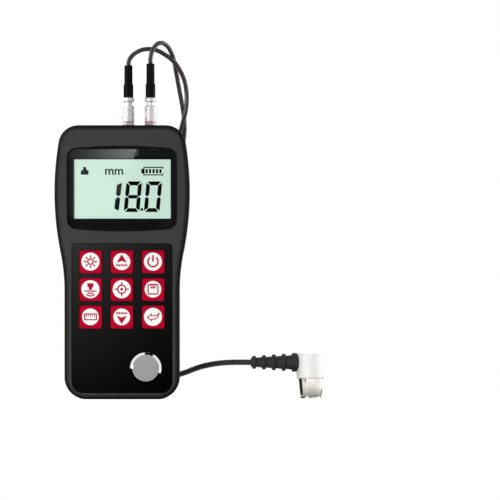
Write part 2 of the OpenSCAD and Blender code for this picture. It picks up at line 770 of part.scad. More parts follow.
// a ribbed relief, growing towards the head, with its last ring cut to fit round the head
module strain_relief() {
    last = relief_rings - 1;
    wrap = 1.2; // reach of the last ring past the head's nearest point
    core_in_d = relief_tip_d * 0.72;
    core_out_d = relief_d * 0.78;
    reach = relief_l + wrap;
    rings = [
        for (k = [0:last])
            let (
                from = 0.65 + k * (relief_l - 3.5) / last,
                to = k == last ? reach : from + ring_w,
                r = (relief_tip_d + (relief_d - relief_tip_d) * k / last) / 2,
                core_r = (core_in_d + (core_out_d - core_in_d) * k / last) / 2
            )
            each [[core_r, from], [r, from + 0.4], [r, to - 0.4], [core_r, to]]
    ];
    color(rubber_black) translate([relief_x, probe_y, relief_z]) rotate([0, 90, 0]) {
        difference() {
            rotate_extrude() polygon(concat([[0, 0], [core_in_d / 2, 0]], rings, [[0, reach]]));
            translate([0, 0, relief_l + probe_head_d / 2]) rotate([0, 90, 0])
                cylinder(h = 3 * relief_d, d = probe_head_d + 2 * fit_gap, center = true);
        }
        translate([0, 0, relief_l - cut]) cylinder(h = cut + 4, d = spigot_d);
    }
}

module probe_head() {
    chamfer = 0.4;
    color(nickel) difference() {
        translate([probe_x, probe_y, tip_h]) rotate_extrude() polygon([
            [0, 0], [probe_head_d / 2 - chamfer, 0], [probe_head_d / 2, chamfer],
            [probe_head_d / 2, probe_head_h - chamfer], [probe_head_d / 2 - chamfer, probe_head_h],
            [0, probe_head_h]
        ]);
        translate([probe_x, probe_y, tip_h - cut]) cylinder(h = 3.1 + cut, d = tip_top_d - 1.4 + 2 * fit_gap);
        translate([relief_x, probe_y, relief_z]) rotate([0, 90, 0])
            cylinder(h = relief_l + 4.2, d = spigot_d + 2 * fit_gap);
    }
}

// the tapered tip, with a spigot up into the head and a bore for the elements
module probe_tip() {
    spigot_r = tip_top_d / 2 - 0.7;
    color(nickel) translate([probe_x, probe_y, 0]) rotate_extrude() polygon([
        [element_d / 2 + fit_gap, 0], [tip_face_d / 2, 0], [tip_face_d / 2, 0.5],
        [tip_face_d / 2 - 0.15, 0.8], [tip_top_d / 2, tip_h], [spigot_r, tip_h],
        [spigot_r, tip_h + 3], [element_d / 2 + fit_gap, tip_h + 3]
    ]);
}

// half of a round block beside the barrier, for the blocks and the elements on them
module half_discs(z, h) {
    translate([probe_x, probe_y, z]) difference() {
        cylinder(h = h, d = element_d);
        cube([0.6, 2 * element_d, 4 * h], center = true);
    }
}

module delay_blocks() {
    color([0.75, 0.72, 0.6]) half_discs(0, 8);
}

module probe_elements() {
    color(brass) half_discs(8, 0.6);
}

module probe_barrier() {
    color([0.35, 0.25, 0.15]) translate([probe_x - 0.25, probe_y - element_d / 2 + 0.3, 0])
        cube([0.5, element_d - 0.6, 9.5]);
}

front_cover();
rear_cover();
battery_door();
housing_screws();
display_window();
crystal_panel();
backlight();
keypad_panel();
key(0);  // key_backlight
key(1);  // key_up
key(2);  // key_power
key(3);  // key_probe
key(4);  // key_calibrate
key(5);  // key_save
key(6);  // key_units
key(7);  // key_down
key(8);  // key_enter
key_switches();
main_board();
board_chips();
test_disc();
socket(left_x);  // left_socket
socket(right_x);  // right_socket
socket_nuts();
plug(left_x);  // left_plug
plug(right_x);  // right_plug
sleeve(left_x);  // left_sleeve
sleeve(right_x);  // right_sleeve
boot(left_x, left_boot_l);  // left_boot
boot(right_x, right_boot_l);  // right_boot
cell(-cell_x, true);  // left_cell
cell(cell_x, false);  // right_cell
cell_springs();
cell_contacts();
left_lead();
right_lead();
split_sleeve();
cable_down();
cable_coil();
cable_out();
coil_tie();
strain_relief();
probe_head();
probe_tip();
delay_blocks();
probe_elements();
probe_barrier();
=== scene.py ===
import bmesh
import bpy
import math
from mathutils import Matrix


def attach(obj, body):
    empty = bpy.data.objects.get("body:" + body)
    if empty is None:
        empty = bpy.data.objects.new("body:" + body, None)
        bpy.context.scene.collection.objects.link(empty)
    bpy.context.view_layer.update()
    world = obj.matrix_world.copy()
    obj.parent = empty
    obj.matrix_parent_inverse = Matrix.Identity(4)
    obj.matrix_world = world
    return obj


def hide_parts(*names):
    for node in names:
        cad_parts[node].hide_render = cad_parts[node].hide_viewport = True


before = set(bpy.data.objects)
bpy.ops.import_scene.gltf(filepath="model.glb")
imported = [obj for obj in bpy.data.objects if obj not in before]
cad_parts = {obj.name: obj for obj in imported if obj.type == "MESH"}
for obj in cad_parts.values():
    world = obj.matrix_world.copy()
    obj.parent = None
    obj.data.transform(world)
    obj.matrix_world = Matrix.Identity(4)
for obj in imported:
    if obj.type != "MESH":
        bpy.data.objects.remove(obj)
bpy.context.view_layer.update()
scene = bpy.context.scene
scene.view_settings.view_transform = "Standard"
mm = 0.001
tiny = 1e-7  # metres, closer places are the same
print("frame loaded")

# camera, straight on to the keypad
view = {"place": (0.070, -6.016, 0.0817), "lens": 790}
bpy.ops.object.camera_add(location=view["place"], rotation=(math.radians(90), 0, 0))
camera = bpy.context.object
camera.data.lens = view["lens"]
scene.camera = camera

# sizes that several pieces share, in millimetres
housing = {"gripW": 63, "headW": 74, "high": 150, "headZ": 113.5, "sideR": 165, "waistR": 105,
           "topR": 11, "bottomR": 12, "front": -16, "parting": -4, "back": 16, "frontR": 3, "backR": 7,
           "wall": 2.4, "panelLow": 3.35, "panelTop": 85.45, "windowZ": 115.3}
hinge = {"y": 15, "z": 28.5}
keypad = {"columns": 17.1, "rows": 15.1, "top": 85.3, "drop": 10.1, "hole": 12.7, "cornerR": 1}
disc = {"x": 13, "z": 17.1, "r": 8.6, "faceR": 7.3, "bevel": 7.31, "rim": 3.35, "thick": 4, "back": -11.95}
plug = {"r": 3.2, "y": 4, "left": 3.3, "apart": 12.1, "boot": 165.3}
probe = {"x": 103.5, "y": 14, "z": 20, "relief": 70.4}
cords = {"lead": 2.5, "cable": 3.1}


# tools

def letGo():
    if bpy.context.object and bpy.context.object.mode != "OBJECT":
        bpy.ops.object.mode_set(mode="OBJECT")
    bpy.ops.object.select_all(action="DESELECT")


def takeUp(*objs):
    letGo()
    for obj in objs:
        obj.select_set(True)
    bpy.context.view_layer.objects.active = objs[0]


def pick(obj, kind, test):  # into edit mode, with only the chosen elements selected
    takeUp(obj)
    bpy.ops.object.mode_set(mode="EDIT")
    bpy.ops.mesh.select_mode(type=kind)
    bpy.ops.mesh.select_all(action="DESELECT")
    grid = bmesh.from_edit_mesh(obj.data)
    for element in {"VERT": grid.verts, "EDGE": grid.edges, "FACE": grid.faces}[kind]:
        if test(element):
            element.select_set(True)
    grid.select_flush_mode()
    bmesh.update_edit_mesh(obj.data)


def done():
    bpy.ops.object.mode_set(mode="OBJECT")


def turnOut(obj):  # no doubles, and the skin faces outwards
    pick(obj, "FACE", lambda face: True)
    bpy.ops.mesh.remove_doubles(threshold=0.000001)
    bpy.ops.mesh.normals_make_consistent(inside=False)
    done()


def loop(name, spots, fill="NGON"):  # a closed line through the spots
    letGo()
    bpy.ops.mesh.primitive_circle_add(vertices=len(spots), radius=0.01, fill_type=fill)
    obj = bpy.context.object
    obj.name = name
    for vertex, spot in zip(obj.data.vertices, spots):
        vertex.co = spot
    return obj


def trace(name, points, y):  # an upright outline, left selected in edit mode
    obj = loop(name, [(x * mm, y * mm, z * mm) for x, z in points])
    bpy.ops.object.mode_set(mode="EDIT")
    bpy.ops.mesh.select_all(action="SELECT")
    return obj


def thicken(depth):
    bpy.ops.mesh.extrude_region_move(TRANSFORM_OT_translate={"value": (0, depth * mm, 0)})
    done()


def plate(name, points, fromY, toY, toPoints=None):  # an upright outline given its thickness
    obj = trace(name, points, fromY)
    thicken(toY - fromY)
    if toPoints:  # the far outline differs from the near one
        for vertex in obj.data.vertices:
            if abs(vertex.co.y - toY * mm) < tiny:
                place = vertex.co.x / mm, vertex.co.z / mm
                spot = min(range(len(points)), key=lambda i: math.dist(points[i], place))
                vertex.co.x, vertex.co.z = [c * mm for c in toPoints[spot]]
    turnOut(obj)
    return obj


def hollowPlate(name, points, line, fromY, toY):  # only a line of the outline is left
    obj = trace(name, points, fromY)
    bpy.ops.mesh.inset(thickness=line * mm, depth=0)
    bpy.ops.mesh.delete(type="FACE")
    bpy.ops.mesh.select_all(action="SELECT")
    thicken(toY - fromY)
    turnOut(obj)
    return obj


def block(name, low, high):
    letGo()
    bpy.ops.mesh.primitive_cube_add(size=1)
    obj = bpy.context.object
    obj.name = name
    for vertex in obj.data.vertices:
        vertex.co = [(a if c < 0 else b) * mm for c, a, b in zip(vertex.co, low, high)]
    return obj


def lathe(name, profile, foot, axis, steps, closed=False):  # [radius, height] pairs, turned
    up = {"X": (1, 0, 0), "Y": (0, -1, 0), "Z": (0, 0, 1)}[axis]
    out = {"X": (0, 0, 1), "Y": (1, 0, 0), "Z": (1, 0, 0)}[axis]
    spots = [[(f + r * o + h * u) * mm for f, o, u in zip(foot, out, up)] for r, h in profile]
    obj = loop(name, spots, "NOTHING")
    last = len(profile) - 1
    if not closed:
        pick(obj, "EDGE", lambda edge: {v.index for v in edge.verts} == {0, last})
        bpy.ops.mesh.delete(type="EDGE")
        done()
    pick(obj, "VERT", lambda vertex: True)
    bpy.ops.mesh.spin(steps=steps, angle=2 * math.pi, center=[f * mm for f in foot], axis=up,
                      use_auto_merge=True)
    done()
    turnOut(obj)
    return obj


def rod(name, foot, axis, radius, length, steps=48):
    return lathe(name, [[0, 0], [radius, 0], [radius, length], [0, length]], foot, axis, steps)


def joined(name, *objs):
    takeUp(*objs)
    bpy.ops.object.join()
    bpy.context.object.name = name
    return bpy.context.object


def twin(obj, name, move):
    takeUp(obj)
    bpy.ops.object.duplicate()
    other = bpy.context.object
    other.name = name
    for vertex in other.data.vertices:
        vertex.co = [c + m * mm for c, m in zip(vertex.co, move)]
    return other


def modify(obj, kind, **settings):
    takeUp(obj)
    step = obj.modifiers.new("step", kind)
    for key, value in settings.items():
        setattr(step, key, value)
    bpy.ops.object.modifier_apply(modifier=step.name)


def carve(obj, tool, how="DIFFERENCE"):
    modify(obj, "BOOLEAN", object=tool, operation=how, solver="EXACT")
    bpy.data.objects.remove(tool)


def roundRim(obj, y, radius, segments):  # the edges that lie in one upright plane
    pick(obj, "EDGE", lambda edge: all(abs(v.co.y - y * mm) < tiny for v in edge.verts))
    bpy.ops.mesh.bevel(offset=radius * mm, segments=segments, profile=0.5, affect="EDGES")
    done()


def soften(obj, width, segments, angle):
    modify(obj, "BEVEL", width=width * mm, segments=segments, limit_method="ANGLE",
           angle_limit=math.radians(angle), use_clamp_overlap=True, miter_outer="MITER_ARC")


def cutAway(obj, cuts):
    for tool in cuts.values():
        carve(obj, tool)


def smooth(obj, angle):  # rounded edges, with flat faces kept flat
    takeUp(obj)
    bpy.ops.object.shade_smooth_by_angle(angle=math.radians(angle))
    modify(obj, "WEIGHTED_NORMAL", keep_sharp=True, weight=60)


def rounded(obj, width, segments, angle, shade=35):
    soften(obj, width, segments, angle)
    smooth(obj, shade)


def around(cx, cz, r, angle):
    a = math.radians(angle)
    return cx + r * math.cos(a), cz + r * math.sin(a)


def arc(cx, cz, r, start, end, n):
    return [around(cx, cz, r, start + (end - start) * i / n) for i in range(n + 1)]


def mirrored(points):
    return [(-x, z) for x, z in reversed(points)]


def softRect(cx, cz, w, h, low, high, bow=0, n=8):  # rounded rectangle, its ends bowed if wanted
    steps = 8
    rise = [(t / steps, bow * (1 - t * t / steps ** 2)) for t in range(1, steps)]
    right = [((w / 2 - low) * share, -h / 2 - up) for share, up in rise]
    right += arc(w / 2 - low, low - h / 2, low, -90, 0, n)
    right += arc(w / 2 - high, h / 2 - high, high, 0, 90, n)
    right += [((w / 2 - high) * share, h / 2 + up) for share, up in reversed(rise)]
    return [(cx + x, cz + z) for x, z in right + mirrored(right)]


# finishes

def tone(r, g, b):  # a screen colour as the shader takes it
    shares = [c / 255 for c in (r, g, b)]
    return tuple(s / 12.92 if s <= 0.04 else ((s + 0.055) / 1.055) ** 2.4 for s in shares) + (1,)


class Wire:  # a socket that takes part in sums
    def __init__(self, nodes, socket):
        self.nodes, self.socket = nodes, socket

    def sum(self, operation, a, b=0.0):
        return self.nodes.node("ShaderNodeMath", {"operation": operation}, {0: a, 1: b})

    def __add__(self, other):
        return self.sum("ADD", self, other)

    def __radd__(self, other):
        return self.sum("ADD", other, self)

    def __sub__(self, other):
        return self.sum("SUBTRACT", self, other)

    def __rsub__(self, other):
        return self.sum("SUBTRACT", other, self)

    def __mul__(self, other):
        return self.sum("MULTIPLY", self, other)

    def __rmul__(self, other):
        return self.sum("MULTIPLY", other, self)

    def __truediv__(self, other):
        return self.sum("DIVIDE", self, other)

    def __gt__(self, other):
        return self.sum("GREATER_THAN", self, other)

    def __lt__(self, other):
        return self.sum("LESS_THAN", self, other)

    def root(self):
        return self.sum("SQRT", self)


class Nodes:  # a node tree and the one method that adds to it
    def __init__(self, tree):
        self.tree = tree
        tree.nodes.clear()

    def node(self, kind, settings, sockets, out=0):
        made = self.tree.nodes.new(kind)
        for key, value in settings.items():
            setattr(made, key, value)
        for key, value in sockets.items():
            if isinstance(value, Wire):
                self.tree.links.new(value.socket, made.inputs[key])
            else:
                made.inputs[key].default_value = value
        return Wire(self, made.outputs[out]) if made.outputs else None

    def shown(self):  # 1 for the rays that see the white surroundings
        rays = [self.node("ShaderNodeLightPath", {}, {}, ray)
                for ray in ("Is Camera Ray", "Is Glossy Ray", "Is Transmission Ray")]
        return rays[0] + rays[1] + rays[2]


class Paint(Nodes):
    def __init__(self, name):
        self.material = bpy.data.materials.new(name)
        self.material.use_nodes = True
        super().__init__(self.material.node_tree)

    def place(self):
        return self.node("ShaderNodeTexCoord", {}, {}, "Object")

    def along(self, axes):
        return [self.node("ShaderNodeSeparateXYZ", {}, {"Vector": self.place()}, axis) for axis in axes]

    def noise(self, scale, detail, rough, stretch=None):
        spot = self.place()
        if stretch:
            spot = self.node("ShaderNodeMapping", {}, {"Vector": spot, "Scale": stretch})
        sockets = {"Vector": spot, "Scale": scale, "Detail": detail, "Roughness": rough}
        return self.node("ShaderNodeTexNoise", {}, sockets, "Fac")

    def clamped(self, value):
        return self.node("ShaderNodeClamp", {}, {0: value})

    def between(self, share, a, b):
        return self.node("ShaderNodeMix", {"data_type": "RGBA"}, {0: share, 6: a, 7: b}, 2)

    def ranged(self, value, low, high, atLow, atHigh):
        return self.node("ShaderNodeMapRange", {}, {0: value, 1: low, 2: high, 3: atLow, 4: atHigh})

    def bump(self, height, depth, strength):
        sockets = {"Height": height, "Distance": depth * mm, "Strength": strength}
        return self.node("ShaderNodeBump", {}, sockets)

    def finish(self, shader):
        self.node("ShaderNodeOutputMaterial", {}, {"Surface": shader})
        return self.material

    def solid(self, **sockets):
        names = {"colour": "Base Color", "rough": "Roughness", "metal": "Metallic", "normal": "Normal",
                 "gloss": "Specular IOR Level", "coat": "Coat Weight", "coatRough": "Coat Roughness",
                 "glow": "Emission Color", "glowLevel": "Emission Strength"}
        sockets = {names[key]: value for key, value in sockets.items()}
        return self.finish(self.node("ShaderNodeBsdfPrincipled", {}, sockets))


def grainPlastic(name, dark, light, gloss, rough, wall=None):  # spark-eroded moulding
    paint = Paint(name)
    fine = paint.noise(scale=5200, detail=2, rough=0.6)
    coarse = paint.noise(scale=1500, detail=1, rough=0.5)
    cloud = paint.noise(scale=38, detail=3, rough=0.55)
    colour = paint.between(cloud * 0.6 + fine * 0.4, tone(*dark), tone(*light))
    if wall:  # painted shade: the rim is painted darker as it turns away from the front, and the wall round the display is painted dark as shade
        x, y, z = paint.along("XYZ")
        rimShade = paint.clamped((y - housing["front"] * mm) / (wall["fade"] * mm)).root()
        inside = (x * x < (wall["half"] * mm) ** 2) * (z > wall["low"] * mm) * (z < wall["high"] * mm)
        for share in (rimShade, (y > wall["y"] * mm) * inside):
            colour = paint.between(share, colour, tone(20, 20, 21))
    return paint.solid(colour=colour, rough=rough + fine * 0.16 - 0.08, gloss=gloss,
                       normal=paint.bump(fine * 0.6 + coarse * 0.4, depth=0.03, strength=0.35))


def rubber(name, dark, light, gloss, rough, scale=900, depth=0.05, coat=0.0):
    paint = Paint(name)
    grain = paint.noise(scale, detail=4, rough=0.6)
    cloud = paint.noise(scale=90, detail=3, rough=0.5)
    shade = paint.between(cloud, tone(*dark), tone(*light))
    return paint.solid(colour=shade, rough=rough + grain * 0.2 - 0.1, gloss=gloss, coat=coat, coatRough=0.25,
                       normal=paint.bump(grain, depth, strength=0.5))


def plated(name, colour, rough, stretch=(1, 1, 1), depth=0.004, line=None):  # metal with faint tool marks
    paint = Paint(name)
    marks = paint.noise(scale=2500, detail=3, rough=0.6, stretch=stretch)
    cloud = paint.noise(scale=140, detail=3, rough=0.5)
    shade = paint.between(cloud, tone(*colour), tone(*[min(255, c + 10) for c in colour]))
    if line:  # red line in the nut's groove
        z, = paint.along("Z")
        shade = paint.between((z > line[0] * mm) * (z < line[1] * mm), shade, tone(224, 170, 176))
    return paint.solid(colour=shade, metal=1.0, rough=rough + marks * 0.06 + cloud * 0.04 - 0.05,
                       normal=paint.bump(marks, depth, strength=0.4))


# where the front cover's colour is painted dark as shade: its rounded rim, and the wall round the display
paintedShadeZone = {"fade": 0.7, "y": -15.88, "half": 30.822, "low": 89, "high": 141.5}
finish = {
    "housing": grainPlastic("mouldedGrey", (60, 60, 60), (66, 66, 66), gloss=0.03, rough=0.6,
                            wall=paintedShadeZone),
    "rear": grainPlastic("mouldedBlack", (33, 33, 34), (41, 41, 42), gloss=0.15, rough=0.58),
    "boot": rubber("shrunkSleeve", (12, 12, 13), (20, 20, 21), gloss=0.0, rough=0.5, scale=1500, depth=0.08,
                   coat=0.08),
    "relief": rubber("reliefRubber", (26, 25, 25), (40, 38, 37), gloss=0.3, rough=0.55, scale=1300),
    "lead": rubber("leadJacket", (36, 32, 31), (48, 43, 41), gloss=0.4, rough=0.32, scale=1800, depth=0.02),
    "cable": rubber("cableJacket", (34, 29, 27), (46, 40, 37), gloss=0.3, rough=0.42, scale=1800, depth=0.02),
    "nickel": plated("plugNickel", (196, 195, 198), rough=0.6, depth=0.001, line=(151.2, 151.9)),
    "probe": plated("probeNickel", (219, 219, 218), rough=0.8, stretch=(1, 1, 0.15), depth=0.003),
    "tip": plated("tipSteel", (228, 225, 219), rough=0.12, stretch=(1, 1, 0.1), depth=0.001),
    "screw": plated("screwSteel", (150, 150, 150), rough=0.3),
    "board": rubber("boardLacquer", (12, 60, 34), (16, 76, 42), gloss=0.5, rough=0.35, scale=700, depth=0.02),
    "chip": rubber("chipResin", (20, 20, 21), (30, 30, 30), gloss=0.4, rough=0.5),
    "white": rubber("whitePlastic", (226, 226, 222), (236, 236, 232), gloss=0.4, rough=0.5),
    "brass": plated("elementBrass", (196, 166, 96), rough=0.25),
    "delay": rubber("delayResin", (190, 182, 150), (206, 198, 166), gloss=0.5, rough=0.3),
    "cork": rubber("barrierCork", (80, 56, 34), (112, 82, 52), gloss=0.2, rough=0.8, scale=1500, depth=0.1),
}


def panelFinish():  # printed film, satin, with painted light that makes its colour lighter towards the upper left
    paint = Paint("panelFilm")
    grain = paint.noise(scale=7000, detail=2, rough=0.5)
    x, z = paint.along("XZ")
    # painted light: the base colour is lighter towards the upper left
    fade = (0.36 + z * 7.5) * (0.808 - x * 7)  # lighter towards the upper left
    shade = paint.between(fade * fade * 1.05 + grain * 0.04 - 0.09, tone(2, 2, 2), tone(46, 47, 47))
    return paint.solid(colour=shade, rough=0.42 + grain * 0.1, gloss=0.015,
                       normal=paint.bump(grain, depth=0.006, strength=0.3))


def keyFinish():
    paint = Paint("keyRed")
    grain = paint.noise(scale=6000, detail=2, rough=0.5)
    cloud = paint.noise(scale=120, detail=2, rough=0.5)
    shade = paint.between(cloud, tone(178, 0, 38), tone(188, 2, 44))
    return paint.solid(colour=shade, rough=0.5 + grain * 0.14, gloss=0.03,
                       normal=paint.bump(grain, depth=0.012, strength=0.3))


def inkFinish(name, dark, light, gloss=0.1):
    paint = Paint(name)
    grain = paint.noise(scale=4000, detail=2, rough=0.5)
    shade = paint.between(grain, tone(*dark), tone(*light))
    return paint.solid(colour=shade, rough=0.6 + grain * 0.1, gloss=gloss)


def discFinish():  # ground face, polished bevel
    paint = Paint("discSteel")
    middle = (-disc["x"] * mm, 0, -disc["z"] * mm)
    spot = paint.node("ShaderNodeMapping", {}, {"Vector": paint.place(), "Location": middle})
    flat = paint.node("ShaderNodeVectorMath", {"operation": "MULTIPLY"}, {0: spot, 1: (1, 0, 1)})
    reach = paint.node("ShaderNodeVectorMath", {"operation": "LENGTH"}, {0: flat}, "Value")
    bevel = reach > disc["bevel"] * mm
    marks = paint.noise(scale=1800, detail=3, rough=0.6, stretch=(1, 1, 14))
    fine = paint.noise(scale=6000, detail=2, rough=0.5)
    return paint.solid(colour=paint.between(bevel, tone(176, 175, 175), tone(236, 236, 236)), metal=1.0,
                       rough=(0.42 + marks * 0.1 + fine * 0.06) * (1 - bevel) + 0.06 * bevel,
                       normal=paint.bump((marks * 0.6 + fine * 0.4) * (1 - bevel), depth=0.006, strength=0.5))


def lcdFinish():
    paint = Paint("crystalFace")
    grain = paint.noise(scale=3000, detail=2, rough=0.5)
    cloud = paint.noise(scale=40, detail=2, rough=0.5)
    shade = paint.between(cloud, tone(198, 226, 211), tone(203, 231, 216))
    # the glow is painted light, a faint glow that brightens the face
    return paint.solid(colour=shade, rough=0.6 + grain * 0.1, gloss=0.1, glow=shade, glowLevel=0.15)


def paneFinish():  # clear window, only its gloss shows
    paint = Paint("clearWindow")
    clear = paint.node("ShaderNodeBsdfTransparent", {}, {"Color": (1, 1, 1, 1)})
    shine = paint.node("ShaderNodeBsdfAnisotropic", {}, {"Color": (1, 1, 1, 1), "Roughness": 0.02})
    inside = paint.node("ShaderNodeNewGeometry", {}, {}, "Backfacing")
    edge = paint.node("ShaderNodeFresnel", {}, {"IOR": 1.6}) * (1 - inside)
    return paint.finish(paint.node("ShaderNodeMixShader", {}, {0: edge, 1: clear, 2: shine}))


def tieFinish():  # woven hook-and-loop strap
    paint = Paint("tieWeave")
    sockets = {"Vector": paint.place(), "Scale": 420.0, "Distortion": 1.0}
    warp = paint.node("ShaderNodeTexWave", {"bands_direction": "Y"}, sockets, "Fac")
    fuzz = paint.noise(scale=3500, detail=3, rough=0.7)
    shade = paint.between(fuzz, tone(14, 14, 15), tone(30, 30, 31))
    return paint.solid(colour=shade, rough=0.85 + fuzz * 0.1, gloss=0.2,
                       normal=paint.bump(warp * 0.5 + fuzz * 0.5, depth=0.12, strength=0.7))


def cellFinish(bandFrom=66):  # plain wrapped cell
    paint = Paint("cellWrap")
    z, = paint.along("Z")
    scuff = paint.noise(scale=300, detail=4, rough=0.6)
    shade = paint.between(z > bandFrom * mm, tone(34, 52, 84), tone(150, 150, 148))
    return paint.solid(colour=shade, rough=0.3 + scuff * 0.2, gloss=0.5)


finish.update({
    "panel": panelFinish(), "key": keyFinish(), "sign": inkFinish("signRed", (178, 0, 40), (190, 4, 48)),
    "signDisc": inkFinish("signWhite", (246, 246, 246), (252, 252, 252)),
    "border": inkFinish("borderBlack", (11, 11, 12), (16, 16, 17), gloss=0.0), "lcd": lcdFinish(),
    "segment": inkFinish("segmentInk", (3, 4, 4), (7, 8, 8), gloss=0.0), "pane": paneFinish(),
    "disc": discFinish(), "tie": tieFinish(), "cell": cellFinish(),
})
print("finishes mixed")


def cover(obj, paint):
    obj.data.materials.clear()
    obj.data.materials.append(finish[paint])


def dress(obj, paint, body, nodes=()):
    cover(obj, paint)
    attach(obj, body)
    if nodes:
        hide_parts(*nodes)
    return obj


# leads and cable, in millimetres: the same routes as the solids

leftRoute = [
    (3.3, 4, 183.1), (3.5, 4.1, 185.2), (5.3, 5.2, 188.2), (8.8, 7.5, 190.8), (13, 9.7, 192),
    (18, 11.5, 191.6), (23.5, 12.8, 188.9), (28.4, 13.8, 184.9), (31.6, 14.8, 180.3), (33.9, 16, 175),
    (35, 17.2, 169.5), (35.2, 18, 164), (34.6, 18.8, 158.2), (33.3, 19.4, 152.7), (31.8, 20, 147.2),
    (30.2, 20.3, 141.5), (28.7, 20.4, 135.5), (27.5, 20.4, 129.5), (26.9, 20.4, 124), (26.8, 20.4, 118.1),
]
rightRoute = [
    (15.4, 4, 184.1), (15.5, 4.3, 187.5), (17.2, 6, 192.5), (20.6, 9, 195.4), (24.2, 12.4, 194),
    (26.8, 15.3, 190), (28.4, 17.3, 185), (29.4, 18.6, 179.5), (30.4, 19.7, 174), (31.5, 20.7, 168),
    (32.6, 21.5, 162), (33.5, 22.2, 156), (34, 22.7, 150), (33.7, 22.9, 144), (32.8, 22.7, 138),
    (31.6, 22.1, 132), (30.4, 21.3, 126), (29.8, 20.6, 122), (29.8, 20.4, 118.1),
]
downRoute = [
    (28.3, 20.4, 103.9), (28.3, 20.5, 97), (28.2, 20.7, 89), (28, 21, 81), (27.7, 21.4, 73), (27.2, 21.9, 65),
    (26.5, 22.5, 57), (25.7, 23.2, 49), (24.8, 24.1, 41), (23.9, 25.4, 33.5), (23.2, 27.4, 26),
    (22.8, 30.4, 19), (22.6, 34.4, 12.5), (22.6, 39.4, 7), (22.6, 46, 3),
]
outRoute = [
    (0, 23.4, 5.5), (7, 23, 6.3), (14, 22.3, 7.9), (21, 21.3, 10), (28, 20, 12.3), (35, 18.4, 14.6),
    (41, 16.9, 16.9), (47.5, 15.4, 18.6), (54, 14.4, 19.6), (61, 14, 20), (70.4, 14, 20),
]
coil = {"x": 0, "y": 46, "innerR": 13, "lane": 3.2, "low": 2.4, "high": 5.6, "turns": 3}
coilTurn = {"every": 20, "end": 2400, "climb": 220, "shift": 160, "shiftsAt": (1380, 1740, 2100)}  # degrees


def ease(t):
    t = min(1, max(0, t))
    return t * t * (3 - 2 * t)


def coilRoute():  # in along the floor, up at the innermost turn, out again on top
    points = []
    top = 360 * coil["turns"]
    for turn in range(coilTurn["every"], coilTurn["end"] + 1, coilTurn["every"]):
        lane, up = coil["turns"] - turn / 360, 0
        if turn > top:
            lane = sum(ease((turn - start) / coilTurn["shift"]) for start in coilTurn["shiftsAt"])
            up = ease((turn - top) / coilTurn["climb"])
        spot = around(coil["x"], coil["y"], coil["innerR"] + coil["lane"] * lane, turn)
        points.append((*spot, coil["low"] + (coil["high"] - coil["low"]) * up))
    return points


def cordPiece(name, points, kind, nodes):
    data = bpy.data.curves.new(name, "CURVE")
    data.dimensions = "3D"
    data.bevel_depth = cords[kind] / 2 * mm
    data.bevel_resolution = 5
    data.resolution_u = 5
    data.use_fill_caps = True
    run = data.splines.new("BEZIER")
    run.bezier_points.add(len(points) - 1)
    for knot, point in zip(run.bezier_points, points):
        knot.co = [c * mm for c in point]
        knot.handle_left_type = knot.handle_right_type = "AUTO"
    obj = bpy.data.objects.new(name, data)
    scene.collection.objects.link(obj)
    return dress(obj, kind, "gauge", nodes)


def runLength(points):
    return round(sum(math.dist(a, b) for a, b in zip(points, points[1:])) * mm, 3)


cableRoute = downRoute + coilRoute() + outRoute
leftLead = cordPiece("leftLead", leftRoute, "lead", ["left_lead"])
rightLead = cordPiece("rightLead", rightRoute, "lead", ["right_lead"])
cable = cordPiece("probeCable", cableRoute, "cable", ["cable_down", "cable_coil", "cable_out"])
print("cords laid", runLength(leftRoute), runLength(rightRoute), runLength(cableRoute))


# housing

def outline(inset):  # arcs that run into each other, mirrored
    h = housing
    headX = h["headW"] / 2 - h["sideR"]
    waistX = h["gripW"] / 2 + h["waistR"]
    waistZ = h["headZ"] - math.sqrt((h["sideR"] + h["waistR"]) ** 2 - (waistX - headX) ** 2)
    lean = math.degrees(math.atan2(waistZ - h["headZ"], waistX - headX))
    topZ = h["high"] - h["topR"]
    topX = headX + math.sqrt((h["sideR"] - h["topR"]) ** 2 - (topZ - h["headZ"]) ** 2)
    shoulder = math.degrees(math.atan2(topZ - h["headZ"], topX - headX))
    right = arc(h["gripW"] / 2 - h["bottomR"], h["bottomR"], h["bottomR"] - inset, -90, 0, n=14)
    right += arc(waistX, waistZ, h["waistR"] + inset, 180, 180 + lean, n=10)
    right += arc(headX, h["headZ"], h["sideR"] - inset, lean, shoulder, n=20)[1:]
    right += arc(topX, topZ, h["topR"] - inset, shoulder, 90, n=12)[1:]
    return right + mirrored(right)


groove = {"count": 6, "first": 20.1, "step": 6.8, "half": 1.65, "x": 31.3, "deep": 2, "y": (-12, 8)}


def grooves():  # cut from both covers
    cuts = []
    for side in (-1, 1):
        xs = sorted((side * groove["x"], side * (groove["x"] + groove["deep"])))
        for k in range(groove["count"]):
            z = groove["first"] + groove["step"] * k
            zs = z - groove["half"], z + groove["half"]
            cuts.append(block("cut", *zip(xs, groove["y"], zs)))
    return joined("cuts", *cuts)


keySpots = [(column * keypad["columns"], keypad["top"] - keypad["drop"] - row * keypad["rows"])
            for row in range(3) for column in (-1, 0, 1)]


def keySquare(x, z, wide, n):
    return softRect(x, z, wide, wide, keypad["cornerR"], keypad["cornerR"], n=n)


def keyHoles(fromY, toY):
    holes = [keySquare(x, z, keypad["hole"], n=5) for x, z in keySpots]
    return joined("cuts", *[plate("cut", hole, fromY, toY) for hole in holes])


def panelRect(wide, shorter, low, high):
    top, foot = housing["panelTop"], housing["panelLow"]
    return softRect(0, (foot + top) / 2, wide, top - foot - shorter, low, high)


